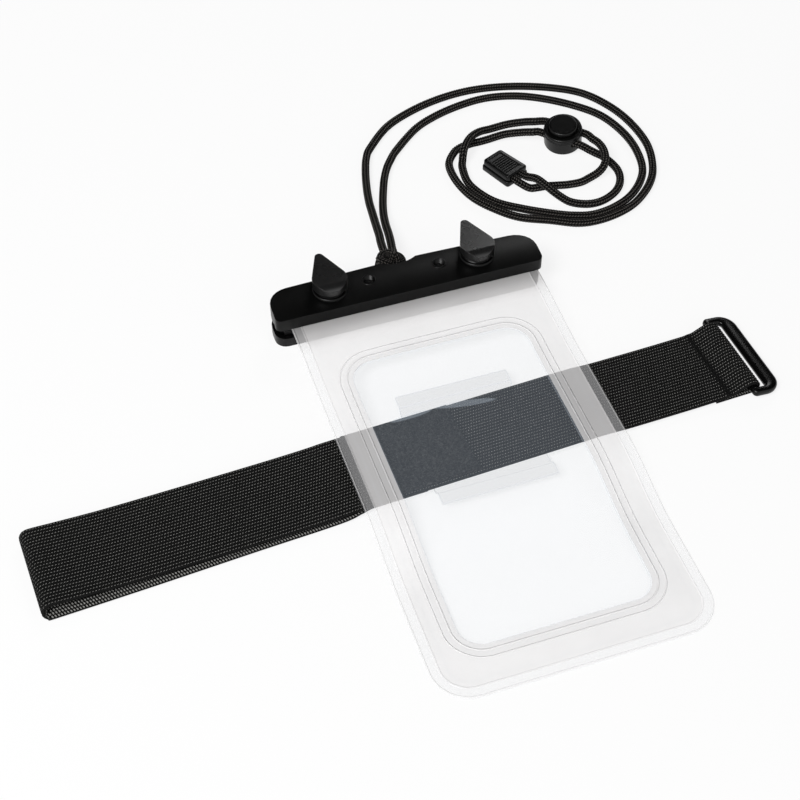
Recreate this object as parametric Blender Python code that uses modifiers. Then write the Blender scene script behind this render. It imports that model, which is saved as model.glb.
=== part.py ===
"""Waterproof armband pouch.

A flat film pouch hangs from a two-bar clamp that two quarter-turn knobs lock. An elastic armband runs through a
clear loop on the pouch's back, and a doubled neck cord with a lock and an end clip is knotted to the clamp.

Metres. X runs along the clamp, Y from the pouch's closed end to the clamp, Z up from the table that the pouch
lies on, face up. The origin is in the middle of the rear bar's underside, below the line of the clamp's screws.
"""
import math

import bmesh
import bpy
from mathutils import Matrix, Vector

# Clearance between pieces that touch
GAP = 0.0003

# Clamp bars
CLAMP_LENGTH = 0.112
CLAMP_FRONT = 0.0102
CLAMP_REAR = 0.0082
CLAMP_REAR_AT_ENDS = 0.0064
CLAMP_REAR_CORNER = 0.0092
REAR_EDGE_RADIUS = 0.3
CLAMP_FRONT_CORNER = 0.0022
REAR_BAR_FRONT_CORNER = 0.0046
BAR_WALL = 0.0018
REAR_BAR_HEIGHT = 0.0043
REAR_BAR_FLOOR = 0.0016
REAR_BAR_EDGE = 0.0009
FRONT_BAR_HEIGHT = 0.0065
FRONT_BAR_ROOF = 0.0026
FRONT_BAR_EDGE = 0.0013
CROWN_RADIUS = 0.045
NOTCH_HALF_WIDTH = 0.0078
NOTCH_DEPTH = 0.0026
END_ARCH_RADIUS = 0.0011
END_ARCH_Y = -0.0063
RIB_THICKNESS = 0.0012
RIB_PLACES = (-0.046, -0.0228, 0.0228, 0.046)
RIB_DEPTH = 0.0022

# Seal between the bars
SEAL_LENGTH = 0.1045
SEAL_WIDTH = 0.0026
SEAL_THICKNESS = 0.0010
SEAL_INSET = 0.0022

# Quarter-turn knobs
KNOB_SPACING = 0.062
KNOB_HEAD_RADIUS = 0.0070
KNOB_TIP_REACH = 0.0163
KNOB_TIP_RADIUS = 0.0017
KNOB_HEAD_HEIGHT = 0.0040
KNOB_TIP_DROP = 0.0020
KNOB_CREST = 0.0030
KNOB_EDGE = 0.0006
KNOB_NECK_RADIUS = 0.0054
KNOB_NECK_HEIGHT = 0.0011
KNOB_SHAFT_RADIUS = 0.0016
KNOB_BOSS_RADIUS = 0.0036
SEAT_RING_RADIUS = 0.0064
SEAT_RING_TOP_RADIUS = 0.0058
SEAT_RING_HEIGHT = 0.0010
BAR_LIFT = 0.0025
PIN_RADIUS = 0.0006
PIN_LENGTH = 0.0060
PIN_HEIGHT = 0.0046
SOCKET_RADIUS = 0.0046
SOCKET_WALL = 0.0012
RAMP_BORE = 0.0020
RAMP_START = math.radians(-22)
RAMP_END = math.radians(68)

# Guide screws and the post that the neck cord goes round
SCREW_SPACING = 0.0296
SCREW_HEAD_RADIUS = 0.0020
SCREW_HEAD_HEIGHT = 0.0010
SCREW_SHOULDER_RADIUS = 0.0014
SCREW_THREAD_RADIUS = 0.0010
SCREW_THREAD_LENGTH = 0.0055
SCREW_SLOT_WIDTH = 0.0006
SCREW_SLOT_DEPTH = 0.0005
SCREW_RECESS = 0.0019
SCREW_BOSS_RADIUS = 0.0036
POST_RADIUS = 0.0029
POST_CLEARANCE = 0.0007
CORD_POST_RADIUS = 0.0018
CORD_POST_Y = 0.0014

# Pouch films
POUCH_WIDTH = 0.104
POUCH_CENTRE_X = 0.002
POUCH_CORNER = 0.014
FILM = 0.0004
WINDOW_FILM = 0.0003
WELD_WIDTH = 0.007
WINDOW_WIDTH = 0.0723
WINDOW_LENGTH = 0.1312
WINDOW_CENTRE_X = 0.0008
WINDOW_TOP_Y = -0.0354
WINDOW_END_MARGIN = 0.0182
WINDOW_CORNER = 0.009
WINDOW_OVERLAP = 0.004
WINDOW_BULGE = 0.0012
BULGE_FADE_SIDE = 0.030
BULGE_FADE_END = 0.040
WELD_FADE = 0.006
POUCH_SLOPE_LENGTH = 0.038
STRAP_SIDE_CLEARANCE = 0.0035
MOUTH_Y = -0.0051

# Belt loop on the pouch's back
BELT_LOOP_WIDTH = 0.0456
BELT_LOOP_TOP_Y = -0.0535
BELT_LOOP_BOTTOM_Y = -0.1078
BELT_LOOP_WELD = 0.0055
BELT_LOOP_CENTRE_X = 0.0005

# Elastic armband
STRAP_WIDTH = 0.035
STRAP_THICKNESS = 0.0012
STRAP_CENTRE_Y = -0.0798
STRAP_ANGLE = math.radians(2.9)
STRAP_FOLD_X = -0.169
STRAP_FREE_END_X = -0.024
STRAP_UNDER_POUCH = 0.0532
STRAP_FOLD_RISE = 0.0040
STRAP_FOLD_SKEW = -0.0030
STRAP_FREE_END_SKEW = -0.0010
STRAP_SAG_RIGHT = 0.030
STRAP_NEAR_POUCH = 0.006
STRAP_WAVE = 0.0004
FREE_LAYER_STARTS = (0.008, 0.024, 0.055, 0.085)
FREE_LAYER_LIFTS = (0.0007, 0.0004, 0.0005, 0.0009)
FOLD_APPROACH = 0.012
FOLD_SQUEEZE = 0.0007
PATCH_THICKNESS = 0.0008
LOOP_PATCH_LENGTH = 0.043
LOOP_PATCH_RIGHT_X = -0.004
PATCH_MARGIN = 0.0008
HOOK_PATCH_LENGTH = 0.021

# Buckle
BUCKLE_BAR_X = 0.1098
BUCKLE_BAR_WIDTH = 0.0030
BUCKLE_SLOT_WIDTH = 0.0034
BUCKLE_OUTER_BAR = 0.0063
BUCKLE_ARM = 0.0033
BUCKLE_THICKNESS = 0.0030
BUCKLE_CORNER = 0.0042
BUCKLE_EDGE = 0.0007
BUCKLE_SIDE_CLEARANCE = 0.0006
BUCKLE_TAIL = 0.0155

# Neck cord
CORD_DIAMETER = 0.0036
CORD_HEIGHT_IN_CLAMP = 0.0065
KNOT_CENTRE = (-0.0008, 0.0156, 0.0070)
KNOT_RADII = (0.0066, 0.0058, 0.0059)
CORD_POINT_SPACING = 0.0068

# Cord lock
LOCK_CENTRE = (0.0990, 0.0705)
LOCK_ANGLE = math.radians(-46)
LOCK_TILT = math.radians(10)
LOCK_LIFT = 0.0014
LOCK_RADIUS = 0.0084
LOCK_HEIGHT = 0.0090
LOCK_FLOOR = 0.0006
LOCK_EDGE = 0.0008
LOCK_CORD_OFFSET = 0.0034
LOCK_CORD_HEIGHT = 0.0052
BUTTON_RADIUS = 0.0063
BUTTON_TRAVEL = 0.0015
BUTTON_RISE = 0.0020
BUTTON_BOTTOM_WALL = 0.0007
BUTTON_EDGE = 0.0009
SPRING_RADIUS = 0.00105
SPRING_WIRE_RADIUS = 0.0002
SPRING_TURNS = 5

# Cord end clip
CLIP_CENTRE = (0.0671, 0.0605)
CLIP_ANGLE = math.atan2(0.911, -0.413)
CLIP_LENGTH = 0.0167
CLIP_NEAR_WIDTH = 0.0128
CLIP_FAR_WIDTH = 0.0116
CLIP_HALF_HEIGHT = 0.0026
CLIP_CORNER = 0.0012
CLIP_CORD_OFFSET = 0.0022
CLIP_SOCKET_DEPTH = 0.004
CLIP_CORD_HEIGHT = 0.00275

# Route of the neck cord's two strands, laid on the table in loose loops
OUTER_STRAND = [
    (-0.0013, 0.0219, 0.0075), (-0.0005, 0.0282, 0.0068), (0.0007, 0.0341, 0.0055), (0.0020, 0.0424, 0.0036),
    (0.0033, 0.0512, 0.0023), (0.0044, 0.0592, 0.0018), (0.0063, 0.0684, 0.0018), (0.0090, 0.0783, 0.0018),
    (0.0121, 0.0869, 0.0018), (0.0160, 0.0931, 0.0018), (0.0282, 0.1051, 0.0018), (0.0441, 0.1128, 0.0018),
    (0.0604, 0.1168, 0.0018), (0.0759, 0.1172, 0.0018), (0.0922, 0.1139, 0.0018), (0.1083, 0.1073, 0.0018),
    (0.1204, 0.0988, 0.0018), (0.1284, 0.0860, 0.0018), (0.1326, 0.0717, 0.0018), (0.1333, 0.0557, 0.0018),
    (0.1293, 0.0410, 0.0018), (0.1230, 0.0310, 0.0018), (0.1135, 0.0227, 0.0018), (0.1040, 0.0185, 0.0018),
    (0.0933, 0.0168, 0.0018), (0.0840, 0.0180, 0.0018), (0.0738, 0.0233, 0.0018), (0.0619, 0.0294, 0.0018),
    (0.0536, 0.0379, 0.0018), (0.0474, 0.0478, 0.0018), (0.0446, 0.0595, 0.0018), (0.0451, 0.0707, 0.0018),
    (0.0495, 0.0776, 0.0018), (0.0539, 0.0805, 0.0018), (0.0591, 0.0815, 0.0018), (0.0628, 0.0816, 0.0018),
    (0.0674, 0.0819, 0.0018), (0.0751, 0.0812, 0.0032), (0.0821, 0.0781, 0.0049), (0.0860, 0.0757, 0.0059),
    (0.0889, 0.0749, 0.0059), (0.0925, 0.0711, 0.0059), (0.0960, 0.0675, 0.0059), (0.0995, 0.0639, 0.0059),
    (0.1029, 0.0603, 0.0059), (0.1064, 0.0574, 0.0044), (0.1087, 0.0563, 0.0031), (0.1110, 0.0550, 0.0020),
    (0.1126, 0.0513, 0.0018), (0.1135, 0.0476, 0.0018), (0.1138, 0.0438, 0.0018), (0.1129, 0.0392, 0.0018),
    (0.1105, 0.0347, 0.0018), (0.1069, 0.0311, 0.0018), (0.1023, 0.0286, 0.0018), (0.0978, 0.0274, 0.0018),
    (0.0933, 0.0276, 0.0018), (0.0890, 0.0293, 0.0018), (0.0857, 0.0316, 0.0020), (0.0832, 0.0342, 0.0029),
    (0.0805, 0.0364, 0.0046), (0.0789, 0.0382, 0.0057), (0.0777, 0.0407, 0.0060), (0.0770, 0.0442, 0.0062),
    (0.0770, 0.0491, 0.0055), (0.0742, 0.0502, 0.0027), (0.0711, 0.0569, 0.0027),
]
INNER_STRAND = [
    (0.0022, 0.0213, 0.0076), (0.0036, 0.0280, 0.0068), (0.0047, 0.0339, 0.0055), (0.0058, 0.0407, 0.0039),
    (0.0074, 0.0484, 0.0025), (0.0095, 0.0558, 0.0018), (0.0122, 0.0635, 0.0018), (0.0152, 0.0711, 0.0018),
    (0.0185, 0.0776, 0.0018), (0.0222, 0.0829, 0.0018), (0.0266, 0.0880, 0.0018), (0.0394, 0.0993, 0.0018),
    (0.0516, 0.1053, 0.0018), (0.0648, 0.1088, 0.0018), (0.0771, 0.1098, 0.0018), (0.0895, 0.1073, 0.0018),
    (0.1009, 0.1016, 0.0018), (0.1126, 0.0924, 0.0018), (0.1215, 0.0820, 0.0018), (0.1260, 0.0699, 0.0018),
    (0.1274, 0.0572, 0.0018), (0.1254, 0.0438, 0.0018), (0.1207, 0.0348, 0.0018), (0.1125, 0.0269, 0.0018),
    (0.1027, 0.0223, 0.0018), (0.0924, 0.0208, 0.0018), (0.0838, 0.0230, 0.0018), (0.0754, 0.0273, 0.0018),
    (0.0654, 0.0337, 0.0018), (0.0567, 0.0406, 0.0018), (0.0518, 0.0481, 0.0018), (0.0490, 0.0573, 0.0018),
    (0.0500, 0.0670, 0.0018), (0.0517, 0.0716, 0.0026), (0.0523, 0.0727, 0.0044), (0.0534, 0.0745, 0.0058),
    (0.0555, 0.0775, 0.0061), (0.0579, 0.0800, 0.0063), (0.0610, 0.0824, 0.0059), (0.0653, 0.0853, 0.0044),
    (0.0704, 0.0868, 0.0032), (0.0778, 0.0860, 0.0044), (0.0844, 0.0832, 0.0062), (0.0889, 0.0809, 0.0071),
    (0.0937, 0.0795, 0.0071), (0.0973, 0.0758, 0.0071), (0.1008, 0.0722, 0.0071), (0.1043, 0.0686, 0.0071),
    (0.1077, 0.0650, 0.0071), (0.1088, 0.0613, 0.0072), (0.1102, 0.0584, 0.0070), (0.1109, 0.0548, 0.0066),
    (0.1104, 0.0506, 0.0062), (0.1089, 0.0469, 0.0058), (0.1069, 0.0448, 0.0046), (0.1041, 0.0438, 0.0030),
    (0.0998, 0.0429, 0.0020), (0.0954, 0.0418, 0.0018), (0.0897, 0.0421, 0.0018), (0.0843, 0.0433, 0.0018),
    (0.0800, 0.0443, 0.0018), (0.0764, 0.0446, 0.0018), (0.0731, 0.0454, 0.0018), (0.0701, 0.0484, 0.0027),
    (0.0671, 0.0550, 0.0027),
]

# Heights and places that follow from the sizes above
SEAL_BASE = 0.0063
SEAL_TOP = SEAL_BASE + GAP + SEAL_THICKNESS
MOUTH_HEIGHT = SEAL_TOP + GAP
FRONT_BAR_BASE = MOUTH_HEIGHT + 2 * FILM + 2 * GAP
FRONT_BAR_TOP = FRONT_BAR_BASE + FRONT_BAR_HEIGHT
SEAT_RING_TOP = FRONT_BAR_TOP + SEAT_RING_HEIGHT
KNOB_NECK_BASE = SEAT_RING_TOP + GAP
KNOB_HEAD_BASE = KNOB_NECK_BASE + KNOB_NECK_HEIGHT
SEAL_Y = -CLAMP_FRONT + BAR_WALL + SEAL_INSET / 4 + SEAL_WIDTH / 2
POUCH_END_Y = WINDOW_TOP_Y - WINDOW_LENGTH - WINDOW_END_MARGIN
POST_TOP = FRONT_BAR_BASE - POST_CLEARANCE
SCREW_HEAD_TOP = FRONT_BAR_TOP - SCREW_RECESS
SCREW_HEAD_BASE = SCREW_HEAD_TOP - SCREW_HEAD_HEIGHT
SCREW_SEAT = SCREW_HEAD_BASE - BAR_LIFT - GAP
CORD_RADIUS = CORD_DIAMETER / 2
LOWER_LAYER_MID = PATCH_THICKNESS + GAP + STRAP_THICKNESS / 2
UPPER_LAYER_MID = LOWER_LAYER_MID + STRAP_THICKNESS + GAP
LOOP_PATCH_BASE = UPPER_LAYER_MID + STRAP_THICKNESS / 2 + GAP
POUCH_OVER_STRAP = LOOP_PATCH_BASE + PATCH_THICKNESS + GAP
BUCKLE_LOOP_RADIUS = BUCKLE_BAR_WIDTH / 2 + 1.3 * GAP + STRAP_THICKNESS / 2
BUCKLE_BAR_HEIGHT = BUCKLE_LOOP_RADIUS + STRAP_THICKNESS / 2
BUCKLE_REACH = BUCKLE_BAR_WIDTH / 2 + BUCKLE_SLOT_WIDTH + BUCKLE_OUTER_BAR
BUCKLE_TILT = math.asin((BUCKLE_BAR_HEIGHT - BUCKLE_THICKNESS / 2) / BUCKLE_REACH) - math.radians(0.5)

PARTS = "armband_pouch"
TOOLS = "cutters"


def clear_scene():
    for item in list(bpy.data.objects):
        bpy.data.objects.remove(item, do_unlink=True)
    for name in (PARTS, TOOLS):
        group = bpy.data.collections.new(name)
        bpy.context.scene.collection.children.link(group)


def finish_material(name, color, roughness, metallic=0.0, alpha=1.0):
    material = bpy.data.materials.new(name)
    material.use_nodes = True
    shader = material.node_tree.nodes["Principled BSDF"]
    shader.inputs["Base Color"].default_value = (*color, 1.0)
    shader.inputs["Roughness"].default_value = roughness
    shader.inputs["Metallic"].default_value = metallic
    shader.inputs["Alpha"].default_value = alpha
    return material


def add_object(name, mesh, material=None):
    """A piece when it has a material, and otherwise a cutter or a former."""
    item = bpy.data.objects.new(name, mesh)
    if material:
        mesh.materials.append(material)
        bpy.data.collections[PARTS].objects.link(item)
    else:
        item.hide_render = True
        item.display_type = 'WIRE'
        bpy.data.collections[TOOLS].objects.link(item)
    return item


def mesh_from(bm, name):
    bmesh.ops.recalc_face_normals(bm, faces=bm.faces)
    mesh = bpy.data.meshes.new(name)
    bm.to_mesh(mesh)
    bm.free()
    return mesh


def shade_round(item, angle=math.radians(35)):
    item.data.shade_smooth()
    item.data.set_sharp_from_angle(angle=angle)


def combine(item, tool, operation):
    modifier = item.modifiers.new(tool.name, 'BOOLEAN')
    modifier.operation = operation
    modifier.object = tool


def cut(item, tool):
    combine(item, tool, 'DIFFERENCE')


def join(item, tool):
    combine(item, tool, 'UNION')


def trim_to(item, tool):
    combine(item, tool, 'INTERSECT')


def round_edges(item, width, segments=3, angle=math.radians(35)):
    modifier = item.modifiers.new("edges", 'BEVEL')
    modifier.width = width
    modifier.segments = segments
    modifier.angle_limit = angle


def box(name, low, high, material=None):
    bm = bmesh.new()
    size = [b - a for a, b in zip(low, high)]
    middle = [(a + b) / 2 for a, b in zip(low, high)]
    bmesh.ops.create_cube(bm, size=1.0, matrix=Matrix.Translation(middle) @ Matrix.Diagonal((*size, 1.0)))
    return add_object(name, mesh_from(bm, name), material)


def cylinder(name, place, radius, low, high, material=None, top_radius=None, sides=32):
    """An upright cylinder or cone at place, from height low to height high."""
    bm = bmesh.new()
    middle = Matrix.Translation((place[0], place[1], (low + high) / 2))
    top = radius if top_radius is None else top_radius
    bmesh.ops.create_cone(bm, cap_ends=True, segments=sides, radius1=radius, radius2=top, depth=high - low,
                          matrix=middle)
    return add_object(name, mesh_from(bm, name), material)


def rod(name, middle, direction, radius, length, material=None, sides=24):
    """A cylinder along any direction."""
    bm = bmesh.new()
    turn = Vector((0, 0, 1)).rotation_difference(Vector(direction)).to_matrix().to_4x4()
    bmesh.ops.create_cone(bm, cap_ends=True, segments=sides, radius1=radius, radius2=radius, depth=length,
                          matrix=Matrix.Translation(middle) @ turn)
    return add_object(name, mesh_from(bm, name), material)


def rounded_outline(corners, segments=6):
    """Points of a closed outline whose corners (x, y, radius) are rounded off by arcs."""
    points = []
    for index, (x, y, radius) in enumerate(corners):
        here = Vector((x, y))
        before = (Vector(corners[index - 1][:2]) - here).normalized()
        after = (Vector(corners[(index + 1) % len(corners)][:2]) - here).normalized()
        half = before.angle(after) / 2
        centre = here + (before + after).normalized() * (radius / math.sin(half))
        start = here + before * (radius / math.tan(half)) - centre
        end = here + after * (radius / math.tan(half)) - centre
        turn = start.angle_signed(end)
        steps = max(1, math.ceil(segments * abs(turn) / (math.pi / 2)))
        for step in range(steps + 1):
            arm = start.copy()
            arm.rotate(Matrix.Rotation(-turn * step / steps, 2))
            points.append(centre + arm)
    return points


def rounded_rectangle(left, right, low, high, radius, segments=6):
    return rounded_outline([(left, low, radius), (right, low, radius), (right, high, radius), (left, high, radius)],
                           segments)


def prism(name, outline, low, high, material=None):
    """A flat outline with an even height, made as a filled curve and turned into a mesh."""
    curve = bpy.data.curves.new(name, 'CURVE')
    curve.dimensions = '2D'
    curve.fill_mode = 'BOTH'
    curve.extrude = (high - low) / 2
    spline = curve.splines.new('POLY')
    spline.points.add(len(outline) - 1)
    for point, (x, y) in zip(spline.points, outline):
        point.co = (x, y, 0, 1)
    spline.use_cyclic_u = True
    former = bpy.data.objects.new(name, curve)
    bpy.context.scene.collection.objects.link(former)
    bpy.context.view_layer.update()
    flat = bpy.data.meshes.new_from_object(former.evaluated_get(bpy.context.evaluated_depsgraph_get()))
    bpy.data.objects.remove(former, do_unlink=True)
    bm = bmesh.new()
    bm.from_mesh(flat)
    bmesh.ops.remove_doubles(bm, verts=bm.verts, dist=0.00001)
    bmesh.ops.translate(bm, verts=bm.verts, vec=(0, 0, (low + high) / 2))
    return add_object(name, mesh_from(bm, name), material)


def side_prism(name, outline, low, high, material=None):
    """A prism whose outline is drawn in (y, z) and which runs along X from low to high."""
    item = prism(name, outline, low, high, material)
    item.data.transform(Matrix(((0, 0, 1, 0), (1, 0, 0, 0), (0, 1, 0, 0), (0, 0, 0, 1))))
    return item


def smooth_step(start, end, value):
    share = min(1.0, max(0.0, (value - start) / (end - start)))
    return share * share * (3 - 2 * share)


def even_route(route, spacing):
    """Even steps along a smooth curve that passes through every point of the route."""
    ends = [2 * Vector(route[0]) - Vector(route[1])], [2 * Vector(route[-1]) - Vector(route[-2])]
    knots = ends[0] + [Vector(point) for point in route] + ends[1]
    fine = []
    for a, b, c, d in zip(knots, knots[1:], knots[2:], knots[3:]):
        for step in range(20):
            t = step / 20
            fine.append(0.5 * (2 * b + (c - a) * t + (2 * a - 5 * b + 4 * c - d) * t ** 2
                               + (3 * b - a - 3 * c + d) * t ** 3))
    fine.append(knots[-2])
    travel = [0.0]
    for before, after in zip(fine, fine[1:]):
        travel.append(travel[-1] + (after - before).length)
    count = round(travel[-1] / spacing)
    points = []
    index = 0
    for step in range(count + 1):
        target = travel[-1] * step / count
        while index < len(fine) - 2 and travel[index + 1] < target:
            index += 1
        share = (target - travel[index]) / (travel[index + 1] - travel[index])
        points.append(fine[index].lerp(fine[index + 1], share))
    return points


def tube(name, points, radius, material):
    curve = bpy.data.curves.new(name, 'CURVE')
    curve.dimensions = '3D'
    curve.bevel_depth = radius
    curve.bevel_resolution = 2
    curve.use_fill_caps = True
    spline = curve.splines.new('POLY')
    spline.points.add(len(points) - 1)
    for spot, point in zip(spline.points, points):
        spot.co = (*point, 1)
    curve.materials.append(material)
    item = bpy.data.objects.new(name, curve)
    bpy.data.collections[PARTS].objects.link(item)
    return item


def clamp_outline(front_corner, inset=0.0):
    """Plan of both bars: a straight front, round rear corners and a rear edge that bows out a little."""
    half = CLAMP_LENGTH / 2 - inset
    front = -CLAMP_FRONT + inset
    corner = max(front_corner - inset, GAP)
    return rounded_outline([
        (-half, front, corner),
        (half, front, corner),
        (half, CLAMP_REAR_AT_ENDS - inset, CLAMP_REAR_CORNER - inset),
        (0, CLAMP_REAR - inset, REAR_EDGE_RADIUS),
        (-half, CLAMP_REAR_AT_ENDS - inset, CLAMP_REAR_CORNER - inset),
    ])


def notch_tool(name, low, high, wall=0.0):
    """A shallow round notch in the rear edge, where the neck cord's knot sits."""
    radius = (NOTCH_HALF_WIDTH ** 2 + NOTCH_DEPTH ** 2) / (2 * NOTCH_DEPTH)
    return cylinder(name, (0, CLAMP_REAR - NOTCH_DEPTH + radius), radius + wall, low, high, sides=64)


def hollow_tool(name, front_corner, low, high):
    """The space inside a bar's walls, kept a wall's thickness away from the notch."""
    tool = prism(name, clamp_outline(front_corner, BAR_WALL), low, high)
    cut(tool, notch_tool(name + "_notch_wall", low - 0.001, high + 0.001, BAR_WALL))
    return tool


def ramp_ledge(name, turn):
    """Half of the ledge in a knob's socket. The cross pin climbs its sloping underside in a quarter turn."""
    inner = RAMP_BORE
    outer = SOCKET_RADIUS - SOCKET_WALL + 0.0002
    low = PIN_HEIGHT + PIN_RADIUS + 1.5 * GAP
    bm = bmesh.new()
    profile = [bm.verts.new((radius, 0, height)) for radius, height in
               ((inner, low), (outer, low), (outer, POST_TOP), (inner, POST_TOP))]
    face = bm.faces.new(profile)
    bmesh.ops.rotate(bm, verts=bm.verts, cent=(0, 0, 0), matrix=Matrix.Rotation(RAMP_START, 3, 'Z'))
    start = bmesh.ops.duplicate(bm, geom=[face])["geom"]
    bmesh.ops.spin(bm, geom=start, cent=(0, 0, 0), axis=(0, 0, 1), angle=RAMP_END - RAMP_START, steps=10)
    bmesh.ops.remove_doubles(bm, verts=bm.verts, dist=0.00001)
    for vert in bm.verts:
        if vert.co.z < low + 0.0001:
            vert.co.z += BAR_LIFT * math.atan2(vert.co.y, vert.co.x) / (math.pi / 2)
    bmesh.ops.rotate(bm, verts=bm.verts, cent=(0, 0, 0), matrix=Matrix.Rotation(turn, 3, 'Z'))
    return add_object(name, mesh_from(bm, name))


def make_rear_bar(plastic):
    """The bar behind the pouch: a shallow tray with the seal's ridge, two posts and two ramp sockets."""
    bar = prism("rear_bar", clamp_outline(REAR_BAR_FRONT_CORNER), 0, REAR_BAR_HEIGHT + 2 * REAR_BAR_EDGE, plastic)
    cut(bar, notch_tool("rear_bar_notch", -0.001, 0.01))
    round_edges(bar, REAR_BAR_EDGE)
    half = CLAMP_LENGTH / 2 + 0.001
    cut(bar, box("rear_bar_rim", (-half, -0.02, REAR_BAR_HEIGHT), (half, 0.02, 0.02)))
    cut(bar, hollow_tool("rear_bar_hollow", REAR_BAR_FRONT_CORNER, REAR_BAR_FLOOR, REAR_BAR_HEIGHT + 0.001))
    base = REAR_BAR_FLOOR / 2
    join(bar, box("seal_ridge", (-SEAL_LENGTH / 2, SEAL_Y - SEAL_WIDTH / 2, base),
                  (SEAL_LENGTH / 2, SEAL_Y + SEAL_WIDTH / 2, SEAL_BASE)))
    join(bar, cylinder("cord_post", (0, CORD_POST_Y), CORD_POST_RADIUS, base, POST_TOP, sides=20))
    for side in (-1, 1):
        place = (side * SCREW_SPACING / 2, 0)
        join(bar, cylinder(f"screw_post_{side}", place, POST_RADIUS, base, POST_TOP, sides=24))
        cut(bar, cylinder(f"screw_post_hole_{side}", place, SCREW_THREAD_RADIUS + GAP,
                          POST_TOP - SCREW_THREAD_LENGTH, POST_TOP + 0.001, sides=20))
    for side in (-1, 1):
        place = (side * KNOB_SPACING / 2, 0)
        join(bar, cylinder(f"knob_socket_{side}", place, SOCKET_RADIUS, base, POST_TOP))
        cut(bar, cylinder(f"knob_socket_bore_{side}", place, SOCKET_RADIUS - SOCKET_WALL, REAR_BAR_FLOOR,
                          POST_TOP + 0.001))
        for turn in (0, math.pi):
            ledge = ramp_ledge(f"ramp_{side}_{round(turn)}", turn)
            ledge.location = (*place, 0)
            join(bar, ledge)
    return bar


def make_front_bar(plastic):
    """The bar over the pouch: a hollow cover with a crowned top, knob seats, screw bosses, ribs and a tongue."""
    under = FRONT_BAR_BASE - 2 * FRONT_BAR_EDGE
    bar = prism("front_bar", clamp_outline(CLAMP_FRONT_CORNER), under, FRONT_BAR_TOP, plastic)
    half = CLAMP_LENGTH / 2 + 0.002
    trim_to(bar, rod("front_bar_crown", (0, 0, FRONT_BAR_TOP - CROWN_RADIUS), (1, 0, 0), CROWN_RADIUS, 2 * half,
                     sides=160))
    cut(bar, notch_tool("front_bar_notch", under - 0.001, FRONT_BAR_TOP + 0.001))
    round_edges(bar, FRONT_BAR_EDGE, segments=4)
    cut(bar, box("front_bar_lip", (-half, -0.02, 0), (half, 0.02, FRONT_BAR_BASE)))
    roof = FRONT_BAR_TOP - FRONT_BAR_ROOF
    cut(bar, hollow_tool("front_bar_hollow", CLAMP_FRONT_CORNER, FRONT_BAR_BASE - 0.001, roof))
    join(bar, box("seal_tongue", (-SEAL_LENGTH / 2, SEAL_Y - SEAL_WIDTH / 2 + GAP, FRONT_BAR_BASE),
                  (SEAL_LENGTH / 2, SEAL_Y + SEAL_WIDTH / 2 - GAP, roof + 0.0005)))
    for number, place in enumerate(RIB_PLACES):
        join(bar, box(f"rib_{number}", (place - RIB_THICKNESS / 2, SEAL_Y, roof - RIB_DEPTH),
                      (place + RIB_THICKNESS / 2, CLAMP_REAR_AT_ENDS - BAR_WALL / 2, roof + 0.0005)))
    for side in (-1, 1):
        place = (side * SCREW_SPACING / 2, 0)
        join(bar, cylinder(f"screw_boss_{side}", place, SCREW_BOSS_RADIUS, FRONT_BAR_BASE, roof + 0.0005, sides=24))
        cut(bar, cylinder(f"screw_bore_{side}", place, SCREW_SHOULDER_RADIUS + GAP, FRONT_BAR_BASE - 0.001,
                          SCREW_SEAT + 0.001, sides=24))
        cut(bar, cylinder(f"screw_counterbore_{side}", place, SCREW_HEAD_RADIUS + GAP, SCREW_SEAT,
                          FRONT_BAR_TOP + 0.001, sides=24))
    for side in (-1, 1):
        place = (side * KNOB_SPACING / 2, 0)
        join(bar, cylinder(f"seat_ring_{side}", place, SEAT_RING_RADIUS, roof + 0.0005, SEAT_RING_TOP,
                           top_radius=SEAT_RING_TOP_RADIUS))
        join(bar, cylinder(f"knob_boss_{side}", place, KNOB_BOSS_RADIUS, FRONT_BAR_BASE, roof + 0.0005, sides=24))
        cut(bar, cylinder(f"knob_bore_{side}", place, KNOB_SHAFT_RADIUS + GAP, FRONT_BAR_BASE - 0.001,
                          SEAT_RING_TOP + 0.001, sides=24))
    cut(bar, rod("end_arch", (0, END_ARCH_Y, FRONT_BAR_BASE), (1, 0, 0), END_ARCH_RADIUS, 2 * half, sides=20))
    return bar


def make_seal(rubber):
    outline = rounded_rectangle(-SEAL_LENGTH / 2, SEAL_LENGTH / 2, SEAL_Y - SEAL_WIDTH / 2,
                                SEAL_Y + SEAL_WIDTH / 2, SEAL_WIDTH / 2 - 0.0001, segments=4)
    return prism("seal_strip", outline, SEAL_BASE + GAP, SEAL_TOP, rubber)


def teardrop_outline():
    """A round head whose sides run on as tangents to a small round tip."""
    lean = math.asin((KNOB_HEAD_RADIUS - KNOB_TIP_RADIUS) / (KNOB_TIP_REACH - KNOB_TIP_RADIUS))
    tip_y = KNOB_TIP_REACH - KNOB_TIP_RADIUS
    points = []
    for step in range(9):
        angle = lean + (math.pi - 2 * lean) * step / 8
        points.append((KNOB_TIP_RADIUS * math.cos(angle), tip_y + KNOB_TIP_RADIUS * math.sin(angle)))
    for step in range(25):
        angle = math.pi - lean + (math.pi + 2 * lean) * step / 24
        points.append((KNOB_HEAD_RADIUS * math.cos(angle), KNOB_HEAD_RADIUS * math.sin(angle)))
    return points


def knob_side_outline():
    """Side view of the head in (y, z): a domed front, a crest and a thumb face that falls to the tip."""
    base = KNOB_HEAD_BASE
    top = base + KNOB_HEAD_HEIGHT
    front = -KNOB_HEAD_RADIUS - 0.0001
    points = [(KNOB_TIP_REACH + 0.001, base), (KNOB_TIP_REACH + 0.001, top - KNOB_TIP_DROP)]
    for step in range(9):
        angle = math.pi / 2 * step / 8
        points.append((-KNOB_CREST + (front + KNOB_CREST) * math.sin(angle),
                       base + 0.0010 + (KNOB_HEAD_HEIGHT - 0.0010) * math.cos(angle)))
    points.append((front, base))
    return points


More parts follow.
